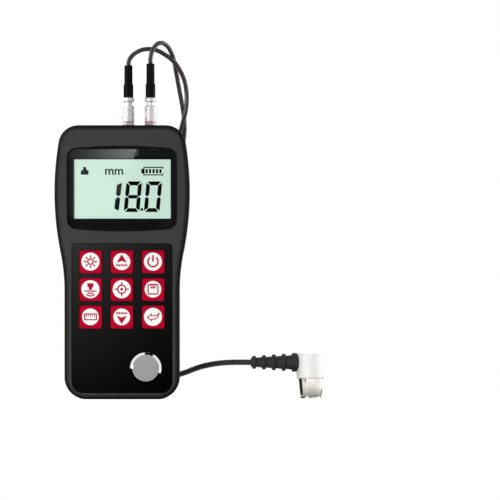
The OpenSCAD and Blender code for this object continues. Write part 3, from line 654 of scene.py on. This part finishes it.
def frontCover():
    h, z = housing, housing["windowZ"]
    obj = plate("frontCover", outline(0), h["front"], h["parting"])
    roundRim(obj, h["front"], h["frontR"], 8)
    cutAway(obj, {
        "inside": plate("cut", outline(h["wall"]), -12.8, -3),
        "lip": plate("cut", outline(h["wall"] / 2), -5.6, -3),
        "recess": plate("cut", softRect(0, z, 60.9, 45.1, 5.6, 5.6, bow=2.0), -16.6, -14.8,
                        softRect(0, z, 59.6, 43.8, 4.9, 4.9)),
        "window": plate("cut", softRect(0, z, 59.55, 43.75, 4.9, 4.9), -15.2, -13.4),
        "crystal": block("cut", (-27.55, -14, z - 17.3), (27.55, -12, z + 17.3)),
        "panel": plate("cut", panelRect(55.3, 0, 6.4, 2.3), -17, -14.8),
        "keys": keyHoles(-15.5, -12),
        "disc": rod("cut", (disc["x"], -12, disc["z"]), "Y", radius=8.65, length=4),
        "grooves": grooves(),
    })
    rounded(obj, 0.22, 2, 40, 38)
    dress(obj, "housing", "gauge", ["front_cover"])


def rearCover():
    h, past = housing, 20
    obj = plate("rearCover", outline(0), h["parting"], h["back"])
    roundRim(obj, h["back"], h["backR"], 10)
    carve(obj, plate("lip", outline(1.3), -5.5, -2), "UNION")
    carve(obj, plate("cut", outline(h["wall"]), -7, 9.5))
    carve(obj, plate("cut", outline(5.2), 9, 13.2))
    screws = [(side * x, z) for side in (-1, 1) for x, z in ((25, 9.5), (26, 142))]
    posts = [rod("post", (x, 13.6, z), "Y", radius=3.3, length=19.2) for x, z in screws]
    posts.append(block("well", (-16.7, -3.2, 28.5), (16.7, 13.6, 88.7)))
    carve(obj, joined("posts", *posts), "UNION")
    bores = [rod("cut", (x, past, z), "Y", radius=2.5, length=17) for x, z in screws]
    plugXs = plug["left"], plug["left"] + plug["apart"]
    sockets = [rod("cut", (x, plug["y"], 140), "Z", radius=2.75, length=15) for x in plugXs]
    cutAway(obj, {
        "bay": block("cut", (-15.2, -1.7, 30), (15.2, past, 85.7)),
        "door": block("cut", (-17.85, 14.1, 28.5), (17.85, past, 88.35)),
        "barrel": rod("cut", (-17.85, hinge["y"], hinge["z"]), "X", radius=1.2, length=35.7, steps=32),
        "swing": block("cut", (-17.84, hinge["y"], 27.32), (17.84, past, 29.2)),
        "thumb": rod("cut", (0, past, 88.1), "Y", radius=6, length=5.5),
        "screws": joined("cuts", *bores),
        "sockets": joined("cuts", *sockets),
        "grooves": grooves(),
    })
    rounded(obj, 0.25, 2, 40, 38)
    dress(obj, "rear", "gauge", ["rear_cover"])


def batteryDoor():
    door = {"w": 35.2, "low": 28.5, "high": 88.1, "y": (14.1, 15.9), "pin": 37.6, "ribs": 5, "ribX": 7,
            "ribDrop": 9, "ribStep": 2, "ribHigh": 1, "ribY": (15.5, 17)}
    middle = (door["low"] + door["high"]) / 2
    face = softRect(0, middle, door["w"], door["high"] - door["low"], low=0.3, high=1.2, n=6)
    obj = plate("batteryDoor", face, *door["y"])
    for name, r, long, steps in (("barrel", 0.9, door["w"], 32), ("pin", 0.5, door["pin"], 24)):
        carve(obj, rod(name, (-long / 2, hinge["y"], hinge["z"]), "X", r, long, steps), "UNION")
    for k in range(door["ribs"]):
        z = door["high"] - door["ribDrop"] - door["ribStep"] * k
        zs = z, z + door["ribHigh"]
        carve(obj, block("cut", *zip((-door["ribX"], door["ribX"]), door["ribY"], zs)))
    rounded(obj, 0.25, 2, 40)
    dress(obj, "rear", "battery_door", ["battery_door"])


frontCover()
rearCover()
batteryDoor()
print("housing moulded")


# display

def windowPieces():
    z = housing["windowZ"]
    pane = plate("displayWindow", softRect(0, z, 59.3, 43.5, 4.9, 4.9), -14.8, -13.4)
    rounded(pane, 0.25, 3, 40)
    dress(pane, "pane", "gauge", ["display_window"])
    border = plate("windowBorder", softRect(0, z, 59.2, 43.4, 4.85, 4.85), -13.39, -13.36)
    carve(border, plate("cut", softRect(0.15, z - 0.25, 52.9, 32.4, 0.3, 0.3, n=3), -14, -13))
    dress(border, "border", "gauge")
    crystal = plate("crystalPanel", softRect(0, z, 57.5, 39, 0.4, 0.4, n=3), -12.8, -10.8)
    rounded(crystal, 0.15, 2, 40)
    dress(crystal, "lcd", "gauge", ["crystal_panel"])


ink = {"y": (-12.84, -12.78), "digitsZ": 102.5}


def mark(points):
    return plate("bar", points, *ink["y"])


def digit(shown, x, stroke=2.1, cut=1.0, lean=0.088):  # slanted bars, a to g
    w, h, gap, corner, t = 8.6, 16.7, 0.1, 0.55, stroke
    m = h / 2
    blunt, half = t * 0.55, t * 0.45  # ends and half height of the middle bar
    nib, slope = t * 0.5, t * 0.35  # where the upright bars are cut to a point
    bars = {
        "a": [(corner + gap, h), (w - corner - gap, h), (w - t - gap, h - t), (t + gap, h - t)],
        "b": [(w, h - corner - gap), (w - t, h - t * cut - gap), (w - t, m + nib + gap), (w - nib, m + gap),
              (w, m + slope + gap)],
        "c": [(w, m - slope - gap), (w - nib, m - gap), (w - t, m - nib - gap), (w - t, t * cut + gap),
              (w, corner + gap)],
        "d": [(t + gap, t), (w - t - gap, t), (w - corner - gap, 0), (corner + gap, 0)],
        "e": [(0, corner + gap), (t, t + gap), (t, m - nib - gap), (nib, m - gap), (0, m - slope - gap)],
        "f": [(0, h - corner - gap), (0, m + slope + gap), (nib, m + gap), (t, m + nib + gap),
              (t, h - t - gap)],
        "g": [(blunt + gap, m), (t + gap, m + half), (w - t - gap, m + half), (w - blunt - gap, m),
              (w - t - gap, m - half), (t + gap, m - half)],
    }
    return [mark([(x + px + pz * lean, ink["digitsZ"] + pz) for px, pz in bars[k]]) for k in shown]


def batterySign():  # case open at one end, terminal and five bars
    case = [(22.6, 126.2), (22.6, 127.2), (11.9, 127.2), (11.7, 127.0), (11.7, 122.7), (11.9, 122.5),
            (22.6, 122.5), (22.6, 123.5), (22.0, 123.5), (22.0, 123.1), (12.3, 123.1), (12.3, 126.6),
            (22.0, 126.6), (22.0, 126.2)]
    z, first, apart = 124.85, 13.44, 1.89
    ends = [mark(case), mark(softRect(11.15, z, 1.2, 2.6, 0.2, 0.2, n=3))]
    return ends + [mark(softRect(first + apart * k, z, 1.15, 2.3, 0.1, 0.1, n=2)) for k in range(5)]


def couplingSign(x=-20.45, z=122.9):  # narrows upwards in three steps
    right = [(2.1, 0), (2.1, 2.3), (1.3, 2.3), (1.3, 2.9), (0.75, 2.9), (0.75, 4.2)]
    points = [(-2.1, 0)] + right + mirrored(right)[:-1]
    return mark([(x + px, z + pz) for px, pz in points])


def unitSign():
    unit = {"size": 6.6, "bold": 0.12, "thick": 0.03, "wide": 9.9, "left": -9.3, "y": -12.81, "low": 122.95}
    unit = {key: value * mm for key, value in unit.items()}
    letGo()
    bpy.ops.object.text_add()
    obj = bpy.context.object
    obj.data.body = "mm"
    obj.data.size, obj.data.offset, obj.data.extrude = unit["size"], unit["bold"], unit["thick"]
    bpy.ops.object.convert(target="MESH")
    xs = [v.co.x for v in obj.data.vertices]
    low = min(xs)
    fit = unit["wide"] / (max(xs) - low)
    for v in obj.data.vertices:
        v.co = (unit["left"] + (v.co.x - low) * fit, unit["y"] - v.co.z, unit["low"] + v.co.y)
    turnOut(obj)
    return obj


def displayMarks():
    parts = digit("bc", -10.5, stroke=2.6, cut=0.7, lean=0.115)
    parts += digit("abcdefg", 0.9) + digit("abcdef", 11.9)
    parts.append(mark(arc(10.85, 103.9, 0.8, 0, 345, 23)))  # decimal point
    parts += batterySign()
    parts.append(couplingSign())
    dress(joined("displayMarks", *parts, unitSign()), "segment", "gauge")


windowPieces()
displayMarks()
print("display built")


# keypad

def keypadPanel():
    obj = plate("keypadPanel", panelRect(55, 0.3, 6.3, 2.2), -15.4, -14.8)
    carve(obj, keyHoles(-17, -13))
    carve(obj, rod("cut", (disc["x"], -13, disc["z"]), "Y", radius=8.75, length=4))
    rounded(obj, 0.12, 2, 40)
    dress(obj, "panel", "gauge", ["keypad_panel"])


signY = (-15.965, -15.92)


def shape(points, x, z):
    return plate("sign", [(x + px, z + pz) for px, pz in points], *signY)


def outlined(points, wide):
    return hollowPlate("sign", points, wide, *signY)


def ring(x, z, outer, inner, start=0, end=360):
    if end - start >= 360:
        return outlined(arc(x, z, outer, 0, 352.5, 47), outer - inner)
    return shape(arc(0, 0, outer, start, end, 30) + arc(0, 0, inner, end, start, 30), x, z)


def bar(x, z, w, h, turn=0):
    c, s = math.cos(math.radians(turn)), math.sin(math.radians(turn))
    corners = softRect(0, 0, w, h, 0.1, 0.1, n=2)
    return shape([(px * c - pz * s, px * s + pz * c) for px, pz in corners], x, z)


def sun(x, z):
    rays = [bar(*around(x, z, 2.85, turn), w=1.3, h=0.85, turn=turn) for turn in range(0, 360, 45)]
    return [ring(x, z, outer=1.9, inner=1.1)] + rays


def arrowUp(x, z, way=1):  # a row of dashes stands behind it
    point = [(0, 4.0), (-2.9, -0.65), (0, 0.35), (2.9, -0.65)]
    dashes = [bar(x + 1.25 * k, z - 2.0 * way, w=0.95, h=1.1) for k in range(-2, 3)]
    return [shape([(px * way, pz * way) for px, pz in point], x, z)] + dashes


def arrowDown(x, z):
    return arrowUp(x, z, -1)


def powerSign(x, z):
    return [ring(x, z, outer=3.2, inner=2.3, start=125, end=415), bar(x, z + 1.8, w=0.95, h=3.6)]


def probeSign(x, z):  # a probe on a surface, with its echo below
    body = [(-1.7, 3.3), (-1.7, 1.2), (-1.1, 1.2), (-0.8, -0.4)]
    body += [(0.8, -0.4), (1.1, 1.2), (1.7, 1.2), (1.7, 3.3)]
    return [shape(body, x, z), bar(x, z - 1.0, w=6.8, h=0.7),
            ring(x, z - 0.9, outer=1.9, inner=1.2, start=205, end=335),
            ring(x, z - 0.9, outer=3.15, inner=2.45, start=215, end=325)]


def targetSign(x, z):  # a mark to set the zero by
    long, thin, reach = 2.1, 0.75, 2.8
    ticks = [bar(x + reach * a, z + reach * b, long if a else thin, thin if a else long)
             for a, b in ((1, 0), (-1, 0), (0, 1), (0, -1))]
    return [ring(x, z, outer=2.6, inner=1.85), shape(arc(0, 0, 0.8, 0, 345, 23), x, z)] + ticks


def cardSign(x, z):  # memory card
    teeth = [bar(x + k, z + 1.75, w=0.6, h=1.6) for k in (-1.15, 0, 1.15)]
    case = outlined(softRect(x, z, 6.1, 5.9, 0.9, 1.1, n=4), 0.7)
    return [case, bar(x, z + 0.8, w=2.9, h=0.7)] + teeth


def rulerSign(x, z):
    ticks = [bar(x + 1.15 * k, z + (0.85 if k % 2 else 0.6), w=0.5, h=1.1 if k % 2 else 1.7)
             for k in range(-2, 3)]
    return [outlined(softRect(x, z, 7.2, 3.8, 0.4, 0.4, n=3), 0.65)] + ticks


def returnSign(x, z):  # outlined arrow that turns back
    edge = [(-3.4, -0.3), (-0.7, 2.0), (-0.55, 0.85), (0.8, 0.85), (1.7, 1.05), (2.5, 1.6), (3.3, 2.7),
            (3.5, 1.5), (3.1, 0.2), (2.2, -0.95), (0.9, -1.55), (-0.45, -1.6), (-0.75, -2.6)]
    return [outlined([(x + px, z + pz) for px, pz in edge], 0.6)]


keySigns = {  # each key's sign and the diameter of its white disc, row by row
    "key_backlight": (sun, 9.85), "key_up": (arrowUp, 9.3), "key_power": (powerSign, 9.85),
    "key_probe": (probeSign, 9.85), "key_calibrate": (targetSign, 9.85), "key_save": (cardSign, 9.1),
    "key_units": (rulerSign, 9.1), "key_down": (arrowDown, 9.1), "key_enter": (returnSign, 9.85),
}


def keyCap():  # modelled once at the origin
    face = -15.9
    obj = plate("keyCap", keySquare(0, 0, 12.2, n=6), face, -12.3)
    roundRim(obj, face, 0.35, 4)
    carve(obj, plate("skirt", keySquare(0, 0, 13.6, n=6), -12.8, -11.8), "UNION")
    carve(obj, rod("stem", (0, -10, 0), "Y", radius=1.75, length=2.6, steps=32), "UNION")
    smooth(obj, 35)
    return obj


def keys():
    first, shift = keyCap(), 0.15
    for (x, z), (name, (sign, wide)) in zip(keySpots, keySigns.items()):
        dress(twin(first, name + "_cap", (x, 0, z)), "key", name, [name])
        x, z = x - shift, z + shift  # printed a little off the cap's middle
        face = plate(name + "_disc", arc(x, z, wide / 2, 0, 354, 59), -15.94, -15.85)
        rounded(face, 0.02, 1, 40)
        dress(face, "signDisc", name)
        dress(joined(name + "_sign", *sign(x, z)), "sign", name)
    bpy.data.objects.remove(first)


def testDisc():
    profile = [[0, 0], [disc["r"], 0], [disc["r"], disc["rim"]]]
    profile += [[disc["faceR"], disc["thick"]], [0, disc["thick"]]]
    obj = lathe("testDisc", profile, (disc["x"], disc["back"], disc["z"]), "Y", 96)
    rounded(obj, 0.1, 2, 20, 20)
    dress(obj, "disc", "gauge", ["test_disc"])


keypadPanel()
keys()
testDisc()
print("keypad built")


# sockets, plugs and boots

def socketNuts():
    r, bore, high = plug["r"], 2.75, 3.1
    dent = [[r, 1.2], [r - 0.25, 1.4], [r - 0.25, 1.7], [r, 1.9]]
    profile = [[bore, 0], [r, 0]] + dent + [[r, high], [bore, high]]
    left = lathe("nut", profile, (plug["left"], plug["y"], housing["high"]), "Z", 64, True)
    soften(left, 0.12, 2, 30)
    obj = joined("socketNuts", left, twin(left, "nut", (plug["apart"], 0, 0)))
    smooth(obj, 30)
    dress(obj, "nickel", "gauge", ["socket_nuts"])


def plugCore(side, x):
    r, core, foot, collet, boot, tail = plug["r"], 2, 144.3, 162.9, plug["boot"], 170.3
    profile = [[0, foot], [core - 0.4, foot], [core, foot + 0.4], [core, collet], [r - 0.4, collet],
               [r, collet + 0.4], [r, boot - 0.7], [r - 0.3, boot], [core, boot], [core, tail], [0, tail]]
    obj = lathe(side + "Plug", profile, (x, plug["y"], 0), "Z", 64)
    rounded(obj, 0.12, 2, 30, 30)
    dress(obj, "nickel", "gauge", [side + "_plug"])


def releaseSleeve(side, x):
    r, bore, high, foot = plug["r"], 2.05, 7.8, 153.1
    flute = {"count": 14, "at": 3.25, "foot": 153.7, "r": 0.3, "high": 3.9}
    dent = [[r, 4.9], [r - 0.18, 5.1], [r - 0.18, 5.5], [r, 5.7]]
    profile = [[bore, 0], [r, 0]] + dent + [[r, high - 0.8], [r - 0.5, high], [bore, high]]
    obj = lathe(side + "Sleeve", profile, (x, plug["y"], foot), "Z", 84, True)
    spots = [around(x, plug["y"], flute["at"], 360 / flute["count"] * k) for k in range(flute["count"])]
    flutes = [rod("flute", (*spot, flute["foot"]), "Z", flute["r"], flute["high"], 12) for spot in spots]
    carve(obj, joined("flutes", *flutes))
    rounded(obj, 0.08, 2, 30, 30)
    dress(obj, "nickel", side + "_sleeve", [side + "_sleeve"])


def shrunkBoot(side, x, long):
    bore, r, leadR, folds = 2.05, 2.7, 1.26, 10
    step = long * 0.4
    profile = [[bore, 0], [r - 0.1, 0], [r, 0.3]]  # shrunk over the tail in small folds
    profile += [[r - 0.06 * (k % 2), 0.3 + (step - 0.9) * k / folds] for k in range(1, folds)]
    profile += [[r, step - 0.6], [2.5, step], [2.25, step + 0.6], [2.22, long - 4], [2.2, long - 0.5],
                [2.0, long], [leadR, long], [leadR, long - 3], [bore, long - 12]]
    obj = lathe(side + "Boot", profile, (x, plug["y"], plug["boot"]), "Z", 48, True)
    smooth(obj, 60)
    dress(obj, "boot", "gauge", [side + "_boot"])


def splitSleeve():  # round at the cable, oval at the two leads
    x, y, foot, r = 28.3 * mm, 20.4 * mm, 104, 1.95
    sections = [(2.25, 2.25, 0.4), (2.25, 2.25, 5.5), (2.6, 2.1, 7), (3.1, 1.8, 8.6), (3.2, 1.75, 10),
                (3.2, 1.75, 13.5), (2.95, 1.5, 14)]  # half widths and height
    letGo()
    bpy.ops.mesh.primitive_circle_add(vertices=48, radius=r * mm, fill_type="NGON",
                                      location=(x, y, foot * mm))
    bpy.ops.object.transform_apply(location=True)
    obj = bpy.context.object
    obj.name = "splitSleeve"
    bpy.ops.object.mode_set(mode="EDIT")
    wide, deep, high = r, r, 0
    for w, d, h in sections:
        bpy.ops.mesh.extrude_region_move(TRANSFORM_OT_translate={"value": (0, 0, (h - high) * mm)})
        bpy.ops.transform.resize(value=(w / wide, d / deep, 1), center_override=(x, y, (foot + h) * mm))
        wide, deep, high = w, d, h
    done()
    turnOut(obj)
    smooth(obj, 50)
    return dress(obj, "boot", "gauge", ["split_sleeve"])


def coilTie():
    points = softRect(-17.8, 4.15, w=15, h=8.3, low=1.5, high=1.5, n=6)
    obj = hollowPlate("coilTie", points, line=0.6, fromY=43.5, toY=48.5)
    rounded(obj, 0.15, 2, 40, 40)
    return dress(obj, "tie", "gauge", ["coil_tie"])


socketNuts()
for side, x, bootLong in (("left", plug["left"], 17.7), ("right", plug["left"] + plug["apart"], 18.7)):
    plugCore(side, x)
    releaseSleeve(side, x)
    shrunkBoot(side, x, bootLong)
split = splitSleeve()
tie = coilTie()
print("plugs and sleeves built")


# probe

def strainRelief():
    size = {"rings": 5, "first": 0.65, "spread": 21.7, "ring": 2.4, "long": 26.4, "r": 3.6, "grows": 1.6,
            "coreR": 2.592, "coreGrows": 1.464}
    last = size["rings"] - 1
    profile = [[0, 0], [2.3, 0], [size["coreR"], 0.3]]
    for k in range(size["rings"]):
        start = size["first"] + k * size["spread"] / last
        end = size["long"] if k == last else start + size["ring"]
        r = size["r"] + size["grows"] * k / last
        core = size["coreR"] + size["coreGrows"] * k / last
        profile += [[core, start], [r - 0.25, start + 0.2], [r, start + 0.6], [r, end - 0.6],
                    [r - 0.25, end - 0.2], [core, end]]
    profile += [[0, size["long"]]]
    obj = lathe("strainRelief", profile, (probe["relief"], probe["y"], probe["z"]), "X", 64)
    carve(obj, rod("cut", (probe["x"], probe["y"], 5), "Z", radius=7.95, length=30, steps=96))
    spigot = rod("spigot", (94.6, probe["y"], probe["z"]), "X", radius=3, length=5, steps=40)
    carve(obj, spigot, "UNION")
    rounded(obj, 0.15, 2, 40, 45)
    return dress(obj, "relief", "gauge", ["strain_relief"])


def probeHead():
    r, low, high, boreR, boreTop = 7.9, 11.2, 24.9, 6.2, 14.3
    profile = [[0, boreTop], [boreR, boreTop], [boreR, low], [r - 0.6, low], [r - 0.3, low + 0.1],
               [r, low + 0.5], [r, high - 0.5], [r - 0.4, high], [0, high]]
    obj = lathe("probeHead", profile, (probe["x"], probe["y"], 0), "Z", 96)
    soften(obj, 0.12, 2, 30)
    carve(obj, rod("cut", (80, probe["y"], probe["z"]), "X", radius=3.05, length=19.8))
    smooth(obj, 30)
    return dress(obj, "probe", "gauge", ["probe_head"])


def probeTip():
    boreR, faceR, neckR, neck, high = 5.25, 6, 6.15, 11.2, 14.2
    profile = [[boreR, 0], [faceR, 0], [faceR, 0.5], [faceR - 0.15, 0.8], [6.85, neck], [neckR, neck],
               [neckR, high], [boreR, high]]
    obj = lathe("probeTip", profile, (probe["x"], probe["y"], 0), "Z", 96, True)
    rounded(obj, 0.12, 2, 20, 30)
    return dress(obj, "tip", "gauge", ["probe_tip"])


relief = strainRelief()
head = probeHead()
tip = probeTip()
print("probe built")

# CAD nodes that keep their shape
kept = {"housing_screws": "screw", "backlight": "white", "key_switches": "screw", "main_board": "board",
        "board_chips": "chip", "left_socket": "nickel", "right_socket": "nickel", "left_cell": "cell",
        "right_cell": "cell", "cell_springs": "nickel", "cell_contacts": "nickel", "delay_blocks": "delay",
        "probe_elements": "brass", "probe_barrier": "cork"}
for name, paint in kept.items():
    cover(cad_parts[name], paint)

runLength(leftRoute)
runLength(rightRoute)
[c * mm for c in cableRoute[0]]
runLength(cableRoute)


# stage and light

def floorFinish():  # paper that shows the shadow near the object and ends in white
    paint = Paint("paperFloor")
    white = (1, 1, 1, 1)
    shown = paint.shown()
    matt = paint.node("ShaderNodeBsdfDiffuse", {}, {"Color": (0.86, 0.86, 0.86, 1)})
    glow = paint.node("ShaderNodeEmission", {}, {"Color": white, "Strength": shown * 0.72})
    near = paint.node("ShaderNodeAddShader", {}, {0: matt, 1: glow})
    far = paint.node("ShaderNodeEmission", {}, {"Color": white, "Strength": shown * 0.9 + 0.1})
    reach = paint.node("ShaderNodeVectorMath", {"operation": "LENGTH"}, {0: paint.place()}, "Value")
    share = paint.node("ShaderNodeMapRange", {"interpolation_type": "SMOOTHSTEP"},
                       {"Value": reach, "From Min": 0.15, "From Max": 0.45})
    return paint.finish(paint.node("ShaderNodeMixShader", {}, {0: share, 1: near, 2: far}))


letGo()
bpy.ops.mesh.primitive_plane_add(size=30)
floor = bpy.context.object
floor.name = "paperFloor"
floor.data.materials.append(floorFinish())

world = bpy.data.worlds.new("studio")
world.use_nodes = True
scene.world = world
sky = Nodes(world.node_tree)
skyLight = sky.node("ShaderNodeMapRange", {}, {"Value": sky.shown(), "To Min": 0.08, "To Max": 1.0})
background = sky.node("ShaderNodeBackground", {}, {"Color": (1, 1, 1, 1), "Strength": skyLight})
sky.node("ShaderNodeOutputWorld", {}, {"Surface": background})


def lamp(name, place, aim, size, power):
    letGo()
    bpy.ops.object.light_add(type="AREA", location=place)
    obj = bpy.context.object
    obj.name = name
    obj.data.shape = "RECTANGLE"
    obj.data.size, obj.data.size_y = size
    obj.data.energy = power
    toward = [a - p for a, p in zip(aim, place)]
    yaw = math.atan2(toward[0], -toward[1])
    pitch = math.atan2(math.hypot(toward[0], toward[1]), -toward[2])
    obj.rotation_euler = (pitch, 0, -(math.pi - yaw))


lamp("keyLight", (-0.45, -0.55, 0.05), aim=(0, 0, 0.08), size=(0.25, 0.08), power=3.6)
lamp("fillLight", (0.10, -1.6, 0.20), aim=(0.05, 0, 0.08), size=(0.5, 0.35), power=5.0)
lamp("leadLight", (-0.30, 0.02, 0.33), aim=(0.02, 0.02, 0.185), size=(0.03, 0.20), power=1.0)
lamp("sideLight", (1.0, 0.15, 0.22), aim=(0.03, 0, 0.08), size=(0.4, 0.4), power=5.0)
lamp("backLight", (0.10, 1.6, 0.45), aim=(0.03, 0, 0.08), size=(0.8, 0.6), power=10)


def card(name, corners, glow=None, strength=1.0):  # seen only in reflections
    paint = Paint(name)
    colour = glow(paint) if glow else (0, 0, 0, 1)
    obj = loop(name, corners)
    shader = paint.node("ShaderNodeEmission", {}, {"Color": colour, "Strength": strength})
    obj.data.materials.append(paint.finish(shader))
    obj.visible_camera = obj.visible_diffuse = obj.visible_shadow = obj.visible_transmission = False


def upright(x0, x1, y0, y1, z0, z1):
    return [(x0, y0, z0), (x1, y1, z0), (x1, y1, z1), (x0, y0, z1)]


def lying(x0, x1, y0, y1, z):
    return [(x0, y0, z), (x1, y0, z), (x1, y1, z), (x0, y1, z)]


gleam = {"left": -0.0484, "wide": 0.0381, "top": 0.1435, "topFade": 0.001, "low": 0.1028,
         "lowFade": 0.0015, "stepAt": -0.051, "y": -1.49}
gleamCorners = [(-0.075, 0.09), (-0.0300, 0.09), (-0.0034, 0.16), (-0.075, 0.16)]


def glare(paint):  # window light, brightest towards its upper right corner
    x, z = paint.along("XZ")
    across = paint.clamped((x - gleam["left"]) / gleam["wide"])
    top = paint.clamped((z - gleam["top"]) / gleam["topFade"])
    low = paint.clamped((z - gleam["low"]) / gleam["lowFade"])
    low = low * (0.03 + (x > gleam["stepAt"]) * 0.1)
    return top * (0.085 + across * 0.42 + across * across * 0.31) + (1 - top) * low


# a card on the floor with a painted shadow round the probe, seen only in reflections
mat = {"middle": (probe["x"] * mm, probe["y"] * mm), "r": 0.045, "z": 0.0003}


def paintedFootShadow(paint):  # painted shadow: the floor darkens towards the probe
    spots = {0: paint.place(), 1: (*mat["middle"], 0)}
    reach = paint.node("ShaderNodeVectorMath", {"operation": "DISTANCE"}, spots, "Value")
    return paint.ranged(reach, low=0.006, high=0.04, atLow=0.18, atHigh=0.9)


def dusk(paint):  # dark beside the tip, paler further back
    y, = paint.along("Y")
    return paint.ranged(y, low=0.03, high=0.06, atLow=0.022, atHigh=0.5)


card("darkFlag", upright(-0.5, 0.4, -1.5, -1.5, 0, 0.6))
card("darkMat", lying(-0.5, 0.06, -1.5, -0.0165, 0.0004))
card("darkBar", lying(-0.06, 0.49, -0.95, -0.5, 0.85))
card("glareCard", [(x, gleam["y"], z) for x, z in gleamCorners], glare, strength=4.0)
matSpots = [around(*mat["middle"], mat["r"], turn) for turn in range(0, 360, 10)]
card("paintedShadowMat", [(*spot, mat["z"]) for spot in matSpots], paintedFootShadow)
card("leftStrip", upright(0.085, 0.085, 0.0106, 0.06, 0.0005, 0.011), dusk)
card("rightStrip", upright(0.122, 0.122, 0.022, 0.06, 0.0005, 0.004), dusk)
print("stage lit")
